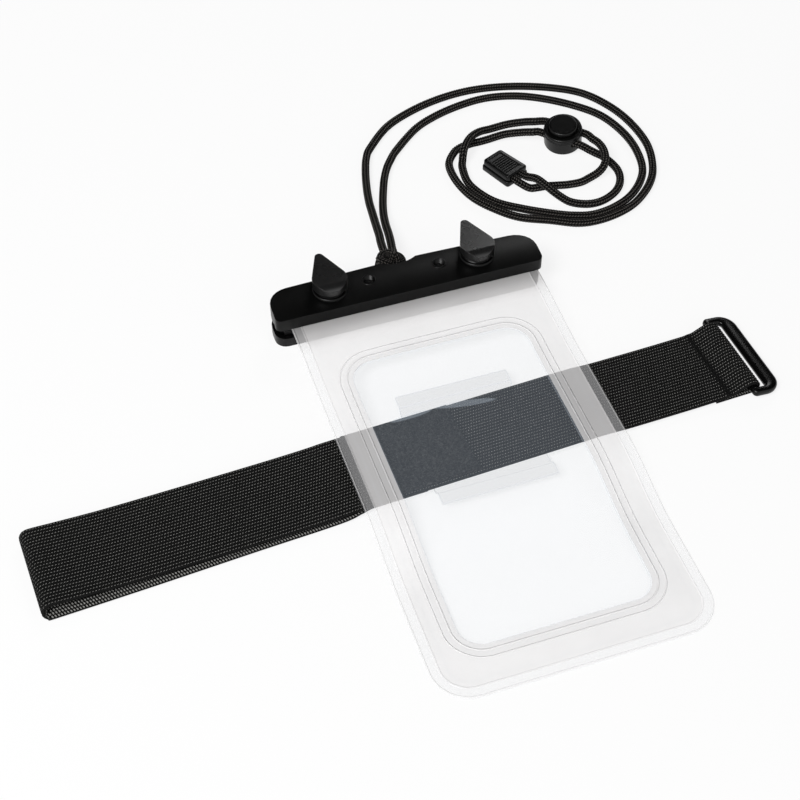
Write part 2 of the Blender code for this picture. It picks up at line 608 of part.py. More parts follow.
def make_knob(side, plastic):
    """Lever head, neck and shaft of one quarter-turn knob, with its origin on the turning axis."""
    name = "left_knob" if side < 0 else "right_knob"
    head = prism(name, teardrop_outline(), KNOB_HEAD_BASE, KNOB_HEAD_BASE + KNOB_HEAD_HEIGHT + 0.001, plastic)
    trim_to(head, side_prism(name + "_profile", knob_side_outline(), -0.02, 0.02))
    round_edges(head, KNOB_EDGE, segments=2, angle=math.radians(40))
    join(head, cylinder(name + "_neck", (0, 0), KNOB_NECK_RADIUS, KNOB_NECK_BASE, KNOB_HEAD_BASE + 0.0005))
    shaft_end = PIN_HEIGHT - 2 * PIN_RADIUS
    join(head, cylinder(name + "_shaft", (0, 0), KNOB_SHAFT_RADIUS, shaft_end, KNOB_NECK_BASE + 0.0005, sides=24))
    cut(head, rod(name + "_pin_hole", (0, 0, PIN_HEIGHT), (1, 0, 0), PIN_RADIUS + GAP, 0.01, sides=16))
    place = (side * KNOB_SPACING / 2, 0, 0)
    for tool in bpy.data.collections[TOOLS].objects:
        if tool.name.startswith(name + "_"):
            tool.parent = head
    head.location = place
    pin = rod(name.replace("knob", "cross_pin"), (0, 0, PIN_HEIGHT), (1, 0, 0), PIN_RADIUS, PIN_LENGTH,
              bpy.data.materials["steel"], sides=16)
    pin.location = place
    return head


def make_guide_screw(side, steel):
    name = "left_guide_screw" if side < 0 else "right_guide_screw"
    place = (side * SCREW_SPACING / 2, 0)
    shoulder_base = POST_TOP + GAP
    screw = cylinder(name, place, SCREW_HEAD_RADIUS, SCREW_HEAD_BASE, SCREW_HEAD_TOP, steel)
    join(screw, cylinder(name + "_shoulder", place, SCREW_SHOULDER_RADIUS, shoulder_base,
                         SCREW_HEAD_BASE + 0.0002, sides=24))
    join(screw, cylinder(name + "_thread", place, SCREW_THREAD_RADIUS, shoulder_base - SCREW_THREAD_LENGTH,
                         shoulder_base + 0.0002, sides=20))
    reach = SCREW_HEAD_RADIUS * 0.75
    for along, across in ((reach, SCREW_SLOT_WIDTH / 2), (SCREW_SLOT_WIDTH / 2, reach)):
        cut(screw, box(f"{name}_slot_{along:.4f}", (place[0] - along, -across, SCREW_HEAD_TOP - SCREW_SLOT_DEPTH),
                       (place[0] + along, across, SCREW_HEAD_TOP + 0.001)))
    return screw


def pouch_base(y):
    """Height of the back sheet's underside: level with the clamp's mouth, over the strap, then down to the table."""
    strap_reach = STRAP_WIDTH / 2 + STRAP_SIDE_CLEARANCE
    if y > STRAP_CENTRE_Y:
        rise = smooth_step(STRAP_CENTRE_Y + strap_reach, -CLAMP_FRONT, y)
        return POUCH_OVER_STRAP + (MOUTH_HEIGHT - POUCH_OVER_STRAP) * rise
    fall = smooth_step(STRAP_CENTRE_Y - strap_reach, STRAP_CENTRE_Y - strap_reach - POUCH_SLOPE_LENGTH, y)
    return POUCH_OVER_STRAP * (1 - fall)


def pouch_swell(x, y):
    """How far the front stands off the back, inside the welded edge."""
    half = POUCH_WIDTH / 2 - WELD_WIDTH
    side = half - abs(x - POUCH_CENTRE_X)
    end = min(y - POUCH_END_Y - WELD_WIDTH, -CLAMP_FRONT - y)
    seat = WINDOW_FILM + GAP
    edge = smooth_step(0, WELD_FADE, side) * smooth_step(0, WELD_FADE, end)
    middle = smooth_step(0, BULGE_FADE_SIDE, side) * smooth_step(0, BULGE_FADE_END, end)
    return seat * edge + WINDOW_BULGE * middle


def front_base(x, y):
    return pouch_base(y) + FILM + GAP + pouch_swell(x, y)


def film(name, left, right, low, high, height, thickness, material, cells):
    """A thin sheet over a grid, whose underside follows a height that is a function of x and y."""
    bm = bmesh.new()
    bmesh.ops.create_grid(bm, x_segments=cells[0], y_segments=cells[1], size=0.5)
    for vert in bm.verts:
        x = left + (right - left) * (vert.co.x + 0.5)
        y = low + (high - low) * (vert.co.y + 0.5)
        vert.co = (x, y, height(x, y))
    item = add_object(name, mesh_from(bm, name), material)
    if item.data.polygons[0].normal.z < 0:
        item.data.flip_normals()
    solid = item.modifiers.new("thickness", 'SOLIDIFY')
    solid.thickness = thickness
    solid.offset = 1.0
    return item


def pouch_outline():
    left = POUCH_CENTRE_X - POUCH_WIDTH / 2
    right = POUCH_CENTRE_X + POUCH_WIDTH / 2
    return rounded_outline([(left, POUCH_END_Y, POUCH_CORNER), (right, POUCH_END_Y, POUCH_CORNER),
                            (right, MOUTH_Y, 0.0005), (left, MOUTH_Y, 0.0005)])


def window_outline(margin):
    left = WINDOW_CENTRE_X - WINDOW_WIDTH / 2 - margin
    right = WINDOW_CENTRE_X + WINDOW_WIDTH / 2 + margin
    low = WINDOW_TOP_Y - WINDOW_LENGTH - margin
    return rounded_rectangle(left, right, low, WINDOW_TOP_Y + margin, WINDOW_CORNER + margin)


def make_pouch(clear_film, frosted_film):
    left = POUCH_CENTRE_X - POUCH_WIDTH / 2 - 0.001
    right = POUCH_CENTRE_X + POUCH_WIDTH / 2 + 0.001
    low = POUCH_END_Y - 0.001
    high = MOUTH_Y + 0.001
    sheet_edge = prism("sheet_edge", pouch_outline(), -0.001, 0.02)
    back = film("back_sheet", left, right, low, high, lambda x, y: pouch_base(y), FILM, clear_film, (6, 30))
    trim_to(back, sheet_edge)
    front = film("front_sheet", left, right, low, high, front_base, FILM, frosted_film, (15, 32))
    trim_to(front, sheet_edge)
    cut(front, prism("window_hole", window_outline(0), -0.001, 0.02))
    reach = WINDOW_OVERLAP + 0.001
    window = film("window_film", WINDOW_CENTRE_X - WINDOW_WIDTH / 2 - reach,
                  WINDOW_CENTRE_X + WINDOW_WIDTH / 2 + reach, WINDOW_TOP_Y - WINDOW_LENGTH - reach,
                  WINDOW_TOP_Y + reach, lambda x, y: front_base(x, y) - GAP - WINDOW_FILM, WINDOW_FILM,
                  clear_film, (12, 26))
    trim_to(window, prism("window_edge", window_outline(WINDOW_OVERLAP), -0.001, 0.02))


def belt_loop_height(x, y):
    """The patch lies under the back sheet at its welds and dips below the strap between them."""
    weld = pouch_base(y) - GAP - WINDOW_FILM
    strap = UPPER_LAYER_MID - STRAP_THICKNESS / 2 - GAP - WINDOW_FILM
    inner_top = BELT_LOOP_TOP_Y - BELT_LOOP_WELD
    inner_bottom = BELT_LOOP_BOTTOM_Y + BELT_LOOP_WELD
    dip = smooth_step(inner_top, inner_top - 0.0015, y) * smooth_step(inner_bottom, inner_bottom + 0.0015, y)
    return weld + (strap - weld) * dip


def make_belt_loop(clear_film):
    half = BELT_LOOP_WIDTH / 2
    patch = film("belt_loop_patch", BELT_LOOP_CENTRE_X - half, BELT_LOOP_CENTRE_X + half, BELT_LOOP_BOTTOM_Y,
                 BELT_LOOP_TOP_Y, belt_loop_height, WINDOW_FILM, clear_film, (4, 36))
    return patch


def strap_route():
    """Middle line of the armband as (along, height, sideways), from the sewn tail at the buckle to the free end."""
    upper_free = STRAP_THICKNESS / 2 + STRAP_THICKNESS + GAP
    tail_height = STRAP_THICKNESS / 2
    route = [(BUCKLE_BAR_X - BUCKLE_TAIL, tail_height, 0), (BUCKLE_BAR_X - 0.6 * BUCKLE_TAIL, tail_height, 0)]
    for step in range(13):
        angle = math.pi * (step / 12 - 0.5)
        route.append((BUCKLE_BAR_X + BUCKLE_LOOP_RADIUS * math.cos(angle),
                      BUCKLE_BAR_HEIGHT + BUCKLE_LOOP_RADIUS * math.sin(angle), 0))
    bar_top = BUCKLE_BAR_HEIGHT + BUCKLE_LOOP_RADIUS
    sewn = BUCKLE_BAR_X - 0.65 * BUCKLE_TAIL
    for step in (0.25, 0.5, 0.75, 1.0):
        height = bar_top + (upper_free - bar_top) * smooth_step(0, 1, step)
        route.append((BUCKLE_BAR_X - 0.0005 + (sewn - BUCKLE_BAR_X) * step, height, 0))
    half = POUCH_WIDTH / 2
    under_loop = STRAP_UNDER_POUCH / 2
    route += [(half + STRAP_SAG_RIGHT, upper_free, 0), (half + STRAP_NEAR_POUCH, upper_free + STRAP_WAVE, 0),
              (half - STRAP_NEAR_POUCH, UPPER_LAYER_MID, 0), (under_loop, UPPER_LAYER_MID, 0),
              (-under_loop, UPPER_LAYER_MID, 0), (-half, UPPER_LAYER_MID, 0)]
    for start, lift in zip(FREE_LAYER_STARTS, FREE_LAYER_LIFTS):
        route.append((-half - start, upper_free + lift, 0))
    fold_radius = STRAP_FOLD_RISE / 2
    fold_middle = STRAP_THICKNESS / 2 + fold_radius
    fold_centre = STRAP_FOLD_X + STRAP_THICKNESS / 2 + fold_radius
    route.append((fold_centre + FOLD_APPROACH, fold_middle + fold_radius - FOLD_SQUEEZE, 0))
    for step in range(9):
        angle = math.pi * (0.5 + step / 8)
        sideways = STRAP_FOLD_SKEW * step / 8
        route.append((fold_centre + fold_radius * math.cos(angle), fold_middle + fold_radius * math.sin(angle),
                      sideways))
    lower_end = -half - 0.008
    for share in (0.3, 0.65, 1.0):
        along = fold_centre + (lower_end - fold_centre) * share
        route.append((along, STRAP_THICKNESS / 2, STRAP_FOLD_SKEW + (STRAP_FREE_END_SKEW - STRAP_FOLD_SKEW) * share))
    route.append((-half + 0.001, LOWER_LAYER_MID, STRAP_FREE_END_SKEW))
    route.append((STRAP_FREE_END_X, LOWER_LAYER_MID, STRAP_FREE_END_SKEW))
    return route


def place_on_strap(item):
    item.rotation_euler = (0, 0, STRAP_ANGLE)
    item.location = (0, STRAP_CENTRE_Y, 0)


def make_strap(elastic):
    """One band of elastic, made as an open ribbon and given its thickness both ways."""
    bm = bmesh.new()
    edge = [bm.verts.new((along, sideways - STRAP_WIDTH / 2, height)) for along, height, sideways in strap_route()]
    lines = [bm.edges.new(pair) for pair in zip(edge, edge[1:])]
    sweep = bmesh.ops.extrude_edge_only(bm, edges=lines)["geom"]
    moved = [part for part in sweep if isinstance(part, bmesh.types.BMVert)]
    bmesh.ops.translate(bm, verts=moved, vec=(0, STRAP_WIDTH, 0))
    mesh = bpy.data.meshes.new("elastic_strap")
    bm.to_mesh(mesh)
    bm.free()
    strap = add_object("elastic_strap", mesh, elastic)
    solid = strap.modifiers.new("thickness", 'SOLIDIFY')
    solid.thickness = STRAP_THICKNESS
    solid.offset = 0.0
    solid.use_even_offset = True
    place_on_strap(strap)
    return strap


def make_patches(fuzz, hooks):
    """The fuzzy patch sewn on the armband's outer face, and its partner near the free end."""
    half = STRAP_WIDTH / 2 - PATCH_MARGIN
    loop_patch = box("loop_patch", (LOOP_PATCH_RIGHT_X - LOOP_PATCH_LENGTH, -half, LOOP_PATCH_BASE),
                     (LOOP_PATCH_RIGHT_X, half, LOOP_PATCH_BASE + PATCH_THICKNESS), fuzz)
    hook_end = STRAP_FREE_END_X - PATCH_MARGIN
    hook_patch = box("hook_patch", (hook_end - HOOK_PATCH_LENGTH, STRAP_FREE_END_SKEW - half, 0),
                     (hook_end, STRAP_FREE_END_SKEW + half, PATCH_THICKNESS), hooks)
    for patch in (loop_patch, hook_patch):
        place_on_strap(patch)


def make_buckle(plastic):
    """A moulded loop that swings about its inner bar, which is its origin."""
    half_bar = BUCKLE_BAR_WIDTH / 2
    half_slot = STRAP_WIDTH / 2 + BUCKLE_SIDE_CLEARANCE
    half_length = half_slot + BUCKLE_ARM
    half_height = BUCKLE_THICKNESS / 2
    outline = rounded_outline([
        (-half_bar, -half_length, BUCKLE_ARM / 2), (BUCKLE_REACH, -half_length, BUCKLE_CORNER),
        (BUCKLE_REACH, half_length, BUCKLE_CORNER), (-half_bar, half_length, BUCKLE_ARM / 2)])
    buckle = prism("buckle", outline, -half_height, half_height, plastic)
    slot = box("buckle_slot", (-2 * half_bar, -half_slot, -2 * half_height),
               (half_bar + BUCKLE_SLOT_WIDTH, half_slot, 2 * half_height))
    cut(buckle, slot)
    round_edges(buckle, BUCKLE_EDGE, segments=2, angle=math.radians(50))
    bar = rod("buckle_bar", (0, 0, 0), (0, 1, 0), half_bar, 2 * half_slot + BUCKLE_ARM)
    join(buckle, bar)
    for tool in (slot, bar):
        tool.parent = buckle
    hinge = Vector((BUCKLE_BAR_X, 0, BUCKLE_BAR_HEIGHT))
    hinge.rotate(Matrix.Rotation(STRAP_ANGLE, 3, 'Z'))
    buckle.location = hinge + Vector((0, STRAP_CENTRE_Y, 0))
    buckle.rotation_euler = (0, BUCKLE_TILT, STRAP_ANGLE)
    return buckle


def knot_front(x):
    """How far forward the knot reaches at one x."""
    across = (x - KNOT_CENTRE[0]) / KNOT_RADII[0]
    return KNOT_CENTRE[1] - KNOT_RADII[1] * math.sqrt(1 - across ** 2)


def make_neck_cord(cord):
    """The cord's loop round the clamp's post, the knot behind the clamp, and the two strands."""
    reach = CORD_POST_RADIUS + GAP + CORD_RADIUS
    bend = [(reach * math.cos(angle), CORD_POST_Y + reach * math.sin(angle), CORD_HEIGHT_IN_CLAMP)
            for angle in (math.pi * (1 + step / 10) for step in range(11))]
    left_end = (-reach, knot_front(CORD_RADIUS - reach) - 2 * GAP, CORD_HEIGHT_IN_CLAMP)
    right_end = (reach, knot_front(reach - CORD_RADIUS) - 2 * GAP, CORD_HEIGHT_IN_CLAMP)
    tube("lanyard_loop", [left_end] + bend + [right_end], CORD_RADIUS, cord)
    bm = bmesh.new()
    bmesh.ops.create_uvsphere(bm, u_segments=20, v_segments=12, radius=1.0)
    bmesh.ops.scale(bm, verts=bm.verts, vec=KNOT_RADII)
    bmesh.ops.translate(bm, verts=bm.verts, vec=KNOT_CENTRE)
    add_object("lanyard_knot", mesh_from(bm, "lanyard_knot"), cord)
    tube("lanyard_outer_strand", even_route(OUTER_STRAND, CORD_POINT_SPACING), CORD_RADIUS, cord)
    tube("lanyard_inner_strand", even_route(INNER_STRAND, CORD_POINT_SPACING), CORD_RADIUS, cord)


def place_on_lock(item):
    """The lock leans toward the clamp, on the edge of its base, because the stiff cords hold it up."""
    item.rotation_euler = (LOCK_TILT, 0, LOCK_ANGLE)
    item.location = (*LOCK_CENTRE, LOCK_LIFT)


def make_cord_lock(plastic, steel):
    """A round body, a button that is also the clamping plunger, and the spring between the two cords."""
    body = cylinder("cord_lock_body", (0, 0), LOCK_RADIUS, 0, LOCK_HEIGHT, plastic, sides=40)
    round_edges(body, LOCK_EDGE, segments=3, angle=math.radians(50))
    bore = BUTTON_RADIUS + GAP
    cut(body, cylinder("lock_bore", (0, 0), bore, LOCK_FLOOR, LOCK_HEIGHT + 0.001, sides=40))
    for side in (-1, 1):
        cut(body, rod(f"lock_cord_hole_{side}", (0, side * LOCK_CORD_OFFSET, LOCK_CORD_HEIGHT), (1, 0, 0),
                      CORD_RADIUS + GAP, 0.03, sides=20))
    slot_base = LOCK_CORD_HEIGHT - CORD_RADIUS - GAP
    slot_top = LOCK_CORD_HEIGHT + CORD_RADIUS + BUTTON_TRAVEL + GAP
    button_base = slot_base - BUTTON_BOTTOM_WALL
    button = cylinder("cord_lock_button", (0, 0), BUTTON_RADIUS, button_base, LOCK_HEIGHT + BUTTON_RISE, plastic,
                      sides=40)
    round_edges(button, BUTTON_EDGE, segments=3, angle=math.radians(50))
    half = LOCK_CORD_OFFSET + CORD_RADIUS + GAP
    cut(button, box("button_cord_slot", (-0.01, -half, slot_base), (0.01, half, slot_top)))
    spring_outer = SPRING_RADIUS + SPRING_WIRE_RADIUS
    cut(button, cylinder("button_spring_hole", (0, 0), spring_outer + GAP, button_base - 0.001, slot_base + 0.001,
                         sides=20))
    low = LOCK_FLOOR + SPRING_WIRE_RADIUS + GAP
    high = slot_top - SPRING_WIRE_RADIUS - GAP
    steps = 10 * SPRING_TURNS
    coil = [(SPRING_RADIUS * math.cos(math.tau * step / 10), SPRING_RADIUS * math.sin(math.tau * step / 10),
             low + (high - low) * step / steps) for step in range(steps + 1)]
    spring = tube("cord_lock_spring", coil, SPRING_WIRE_RADIUS, steel)
    for tool in bpy.data.collections[TOOLS].objects:
        if tool.name.startswith("lock_"):
            tool.parent = body
        if tool.name.startswith("button_"):
            tool.parent = button
    for item in (body, button, spring):
        place_on_lock(item)


def make_cord_clip(plastic):
    """Two tapered half shells that grip the ends of both strands."""
    half = CLIP_LENGTH / 2
    near = CLIP_NEAR_WIDTH / 2
    far = CLIP_FAR_WIDTH / 2
    outline = rounded_outline([(-half, near, CLIP_CORNER), (-half, -near, CLIP_CORNER), (half, -far, CLIP_CORNER),
                               (half, far, CLIP_CORNER)], segments=4)
    halves = (("cord_clip_base", 0.0), ("cord_clip_cover", CLIP_HALF_HEIGHT + GAP))
    for name, low in halves:
        shell = prism(name, outline, low, low + CLIP_HALF_HEIGHT, plastic)
        round_edges(shell, 0.0004, segments=1, angle=math.radians(50))
        for side in (-1, 1):
            socket = rod(f"{name}_socket_{side}", (-half, side * CLIP_CORD_OFFSET, CLIP_CORD_HEIGHT), (1, 0, 0),
                         CORD_RADIUS + GAP, 2 * CLIP_SOCKET_DEPTH, sides=20)
            socket.parent = shell
            cut(shell, socket)
        shell.rotation_euler = (0, 0, CLIP_ANGLE)
        shell.location = (*CLIP_CENTRE, 0)


def main():
    clear_scene()
    black_plastic = finish_material("black_plastic", (0.018, 0.018, 0.019), 0.42)
    rubber = finish_material("seal_rubber", (0.05, 0.05, 0.05), 0.8)
    steel = finish_material("steel", (0.55, 0.55, 0.56), 0.3, metallic=1.0)
    clear_film = finish_material("clear_film", (0.93, 0.94, 0.95), 0.12, alpha=0.25)
    frosted_film = finish_material("frosted_film", (0.90, 0.91, 0.92), 0.45, alpha=0.75)
    elastic = finish_material("elastic", (0.015, 0.015, 0.016), 0.9)
    fuzz = finish_material("fuzz", (0.03, 0.032, 0.036), 1.0)
    cord = finish_material("cord", (0.02, 0.02, 0.02), 0.8)

    make_rear_bar(black_plastic)
    make_front_bar(black_plastic)
    make_seal(rubber)
    for side in (-1, 1):
        make_knob(side, black_plastic)
        make_guide_screw(side, steel)
    make_pouch(clear_film, frosted_film)
    make_belt_loop(clear_film)
    make_strap(elastic)
    make_patches(fuzz, fuzz)
    make_buckle(black_plastic)
    make_neck_cord(cord)
    make_cord_lock(black_plastic, steel)
    make_cord_clip(black_plastic)
    for item in bpy.data.collections[PARTS].objects:
        if item.type == 'MESH':
            shade_round(item)


main()
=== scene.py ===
# %% [markdown]
# Waterproof armband pouch, lying face up on a white table.
#
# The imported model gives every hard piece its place. This script gives the pieces their looks: black moulded
# plastic, ribbed elastic, a braided neck cord, and clear and frosted films. The camera and the cords come first,
# because everything else is judged from there.

# %% Load the frame
import math

import bmesh
import bpy
import numpy as np
from mathutils import Matrix, Vector


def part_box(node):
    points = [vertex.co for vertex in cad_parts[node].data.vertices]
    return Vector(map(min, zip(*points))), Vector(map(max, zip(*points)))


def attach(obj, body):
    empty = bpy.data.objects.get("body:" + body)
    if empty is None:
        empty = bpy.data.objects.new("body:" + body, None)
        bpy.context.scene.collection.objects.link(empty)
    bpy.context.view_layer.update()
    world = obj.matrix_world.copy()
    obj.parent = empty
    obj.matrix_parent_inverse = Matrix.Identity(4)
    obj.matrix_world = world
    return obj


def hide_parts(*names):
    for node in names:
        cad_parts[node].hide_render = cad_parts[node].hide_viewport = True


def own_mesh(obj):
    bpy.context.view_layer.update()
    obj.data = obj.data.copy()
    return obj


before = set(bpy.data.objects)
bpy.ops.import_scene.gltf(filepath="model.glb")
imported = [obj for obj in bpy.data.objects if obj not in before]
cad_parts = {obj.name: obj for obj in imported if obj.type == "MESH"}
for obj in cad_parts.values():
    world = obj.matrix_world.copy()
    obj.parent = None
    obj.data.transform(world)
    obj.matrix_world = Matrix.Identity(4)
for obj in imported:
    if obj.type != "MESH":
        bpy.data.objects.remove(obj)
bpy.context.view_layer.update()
MM = 0.001

# %% [markdown]
# The camera. It looks down at the pouch from the front left at 48 degrees, through a long lens, so that the
# clamp and the armband run across the picture with little convergence.

# %% Camera
CAMERA_PLACE = Vector((-0.1535, -0.4456, 0.4685))
CAMERA_BACK = Vector((-0.2142, -0.6290, 0.7473))
CAMERA_LENS = 73.4

camera = bpy.data.objects.new("camera", bpy.data.cameras.new("camera"))
bpy.context.scene.collection.objects.link(camera)
camera.data.lens = CAMERA_LENS
camera.data.sensor_width = 36
camera.data.clip_start = 0.01
camera.location = CAMERA_PLACE
camera.rotation_euler = CAMERA_BACK.to_track_quat('Z', 'Y').to_euler()
bpy.context.scene.camera = camera
bpy.context.scene.view_settings.view_transform = 'Standard'
print("camera", tuple(round(value, 3) for value in camera.location))

# %% [markdown]
# Helpers for shader nodes. A material is a tree of nodes. The first helper adds a node and fills its sockets,
# either with a plain value or with a link from another node's output. The others are short names for what recurs.


# %% Node helpers
def add(tree, kind, inputs=None, **settings):
    node = tree.nodes.new(kind)
    for name, value in settings.items():
        setattr(node, name, value)
    for name, value in (inputs or {}).items():
        socket = node.inputs[name]
        if isinstance(value, bpy.types.NodeSocket):
            tree.links.new(value, socket)
        else:
            socket.default_value = value
    return node


def calc(tree, operation, *values):
    return add(tree, 'ShaderNodeMath', dict(enumerate(values)), operation=operation).outputs[0]


def wave(tree, value, factor=math.pi):
    return calc(tree, 'SINE', calc(tree, 'MULTIPLY', value, factor))


def new_group(name, inputs, outputs):
    """An empty shader group with named sockets, and its input and output nodes."""
    group = bpy.data.node_groups.new(name, 'ShaderNodeTree')
    for title, kind, value in inputs:
        socket = group.interface.new_socket(title, in_out='INPUT', socket_type=kind)
        if value is not None:
            socket.default_value = value
    for title, kind in outputs:
        group.interface.new_socket(title, in_out='OUTPUT', socket_type=kind)
    return group, group.nodes.new('NodeGroupInput').outputs, group.nodes.new('NodeGroupOutput').inputs


def new_material(name, **values):
    """A Principled material. Keys are socket names with underscores for spaces."""
    material = bpy.data.materials.new(name)
    material.use_nodes = True
    shader = material.node_tree.nodes["Principled BSDF"]
    for key, value in values.items():
        shader.inputs[key.replace("_", " ")].default_value = value
    return material, material.node_tree, shader


def use_group(tree, group, inputs):
    return add(tree, 'ShaderNodeGroup', inputs, node_tree=group).outputs


def object_place(tree):
    return add(tree, 'ShaderNodeTexCoord').outputs["Object"]


def map_range(tree, value, to_min, to_max, from_min=0.0, from_max=1.0, steps='LINEAR'):
    return add(tree, 'ShaderNodeMapRange', {"Value": value, "From Min": from_min, "From Max": from_max,
                                            "To Min": to_min, "To Max": to_max}, interpolation_type=steps).outputs[0]


def bump(tree, height, distance):
    return add(tree, 'ShaderNodeBump', {"Height": height, "Distance": distance}).outputs[0]


def noise_of(tree, scale, detail, **more):
    inputs = {"Vector": object_place(tree), "Scale": scale, "Detail": detail, **more}
    return add(tree, 'ShaderNodeTexNoise', inputs).outputs["Fac"]


def scaled(tree, color, factor):
    return add(tree, 'ShaderNodeVectorMath', {0: color, "Scale": factor}, operation='SCALE').outputs[0]


def wire(tree, shader, sockets):
    for name, value in sockets.items():
        tree.links.new(value, shader.inputs[name])


FLOAT = 'NodeSocketFloat'
COLOR = 'NodeSocketColor'
VECTOR = 'NodeSocketVector'


def grey(value):
    return (value, value, value, 1.0)


# %% [markdown]
# Helpers for pieces. The first makes an object from a finished bmesh. The second says which body a piece rides on,
# and which imported piece it stands for. The third gives a imported piece another material.


# %% Piece helpers
def new_object(name, bm, material, sharp=None):
    """Every edge is shaded smooth, or only those under an angle of sharp degrees."""
    mesh = bpy.data.meshes.new(name)
    bm.to_mesh(mesh)
    bm.free()
    mesh.materials.append(material)
    mesh.shade_smooth()
    if sharp:
        mesh.set_sharp_from_angle(angle=math.radians(sharp))
    made = bpy.data.objects.new(name, mesh)
    bpy.context.scene.collection.objects.link(made)
    return made


def enlist(piece, body, node=None):
    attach(piece, body)
    if node:
        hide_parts(node)
    return piece


def paint(node, material):
    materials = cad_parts[node].data.materials
    materials.clear()
    materials.append(material)


# %% [markdown]
# Moulded plastic. A mould's steel is blasted with fine grit, so the plastic has a very fine, even grain, and
# handling leaves its sheen slightly uneven. Both come from noise in object coordinates: a fine one for the grain,
# and a broad one that shifts the roughness and the colour a little.

# %% Moulded plastic
moulded_skin, skin_in, skin_out = new_group(
    "moulded_skin",
    [("Color", COLOR, grey(0.02)), ("Roughness", FLOAT, 0.4), ("Grain Size", FLOAT, 0.0004),
     ("Grain Depth", FLOAT, 0.00002), ("Unevenness", FLOAT, 0.05)],
    [("Color", COLOR), ("Roughness", FLOAT), ("Normal", VECTOR)])
fine_scale = calc(moulded_skin, 'DIVIDE', 1.0, skin_in["Grain Size"])
shift = calc(moulded_skin, 'SUBTRACT', noise_of(moulded_skin, 90.0, 3.0), 0.5)
uneven = calc(moulded_skin, 'MULTIPLY', shift, skin_in["Unevenness"])
brightness = calc(moulded_skin, 'MULTIPLY_ADD', uneven, 2.0, 1.0)
for name, value in (
        ("Color", scaled(moulded_skin, skin_in["Color"], brightness)),
        ("Roughness", calc(moulded_skin, 'MULTIPLY_ADD', uneven, 2.0, skin_in["Roughness"])),
        ("Normal", bump(moulded_skin, noise_of(moulded_skin, fine_scale, 2.0), skin_in["Grain Depth"]))):
    moulded_skin.links.new(value, skin_out[name])


def plastic(name, color, roughness, gloss):
    material, tree, shader = new_material(name, Specular_IOR_Level=gloss)
    skin = use_group(tree, moulded_skin, {"Color": grey(color), "Roughness": roughness})
    wire(tree, shader, {"Base Color": skin["Color"], "Roughness": skin["Roughness"], "Normal": skin["Normal"]})
    return material


clamp_plastic = plastic("clamp_plastic", 0.0015, 0.34, 0.21)
knob_plastic = plastic("knob_plastic", 0.007, 0.28, 0.60)
buckle_plastic = plastic("buckle_plastic", 0.0015, 0.24, 0.24)
lock_plastic = plastic("lock_plastic", 0.0020, 0.30, 0.22)
print("plastics:", clamp_plastic.name, knob_plastic.name, buckle_plastic.name, lock_plastic.name)

# %% [markdown]
# The steel of the screws, cross pins and spring is blackened, so it is a dark metal with fine turning marks.

# %% Blackened steel
dark_steel, steel_tree, steel_shader = new_material("dark_steel", Metallic=1.0)
steel_noise = noise_of(steel_tree, 2500.0, 3.0)
wire(steel_tree, steel_shader, {"Base Color": map_range(steel_tree, steel_noise, 0.10, 0.20),
                                "Roughness": map_range(steel_tree, steel_noise, 0.25, 0.42)})
print("steel nodes", len(steel_tree.nodes))

# %% [markdown]
# The seal between the bars is black rubber, matt, with a slightly uneven dusty tone.

# %% Seal rubber
seal_rubber, rubber_tree, rubber_shader = new_material("seal_rubber", Specular_IOR_Level=0.3)
rubber_noise = noise_of(rubber_tree, 900.0, 4.0)
wire(rubber_tree, rubber_shader, {"Base Color": map_range(rubber_tree, rubber_noise, 0.012, 0.035),
                                  "Roughness": map_range(rubber_tree, rubber_noise, 0.7, 0.9)})
print("rubber nodes", len(rubber_tree.nodes))

# %% [markdown]
# Curves through chosen points. The cord's route is a short list of points, chosen where the cord changes
# direction. A smooth curve passes through them all, and even steps along it give the tube its rings. A point
# without a height is one where the cord rests on the table.

# %% Even steps along a smooth curve
CURVE_STEPS = 20
CORD_REST = 1.8


def smooth_route(route, spacing):
    """Even steps of about one spacing along a curve through the route's points, which are in millimetres."""
    knots = [Vector((*point, CORD_REST)[:3]) * MM for point in route]
    knots = [2 * knots[0] - knots[1]] + knots + [2 * knots[-1] - knots[-2]]
    fine_points = []
    for a, b, c, d in zip(knots, knots[1:], knots[2:], knots[3:]):
        for step in range(CURVE_STEPS):
            t = step / CURVE_STEPS
            fine_points.append(0.5 * (2 * b + (c - a) * t + (2 * a - 5 * b + 4 * c - d) * t ** 2
                                      + (3 * b - a - 3 * c + d) * t ** 3))
    fine_points.append(knots[-2])
    travel = [0.0]
    for before, after in zip(fine_points, fine_points[1:]):
        travel.append(travel[-1] + (after - before).length)
    count = round(travel[-1] / spacing)
    steps = np.linspace(0, travel[-1], count + 1)
    columns = [np.interp(steps, travel, [point[axis] for point in fine_points]) for axis in range(3)]
    return [Vector(point) for point in zip(*columns)], travel[-1]


# %% [markdown]
# The neck cord is a tubular braid of sixteen strands: eight turn one way, eight the other, and each passes over
# two and under two. Seen from outside that makes rows of small V shapes along the cord. The tube starts as a
# bevelled curve, which Blender turns into rings of points, and each point is then moved out or in by the braid's
# relief, so the rows show on the cord's outline too.

# %% Braided tube
CORD_DIAMETER = 3.6 * MM
BRAID_ROW = 1.18 * MM
BRAID_RELIEF = 0.36 * MM
BRAID_SIDES = 32
BRAID_COLUMNS = 8


def braid_relief(turn, along):
    """Height of the braid from 0 to 1, at a share of a turn round the cord and a distance along it."""
    column = BRAID_COLUMNS * turn
    lean = along / BRAID_ROW
    leading = math.floor(column) % 2 == 0
    strand = (column + lean) % 1.0 if leading else (column - lean) % 1.0
    crown = 1 - (2 * strand - 1) ** 2
    return math.sqrt(max(crown, 0.0)) * (0.45 + 0.55 * math.sin(math.pi * (column % 1.0)))


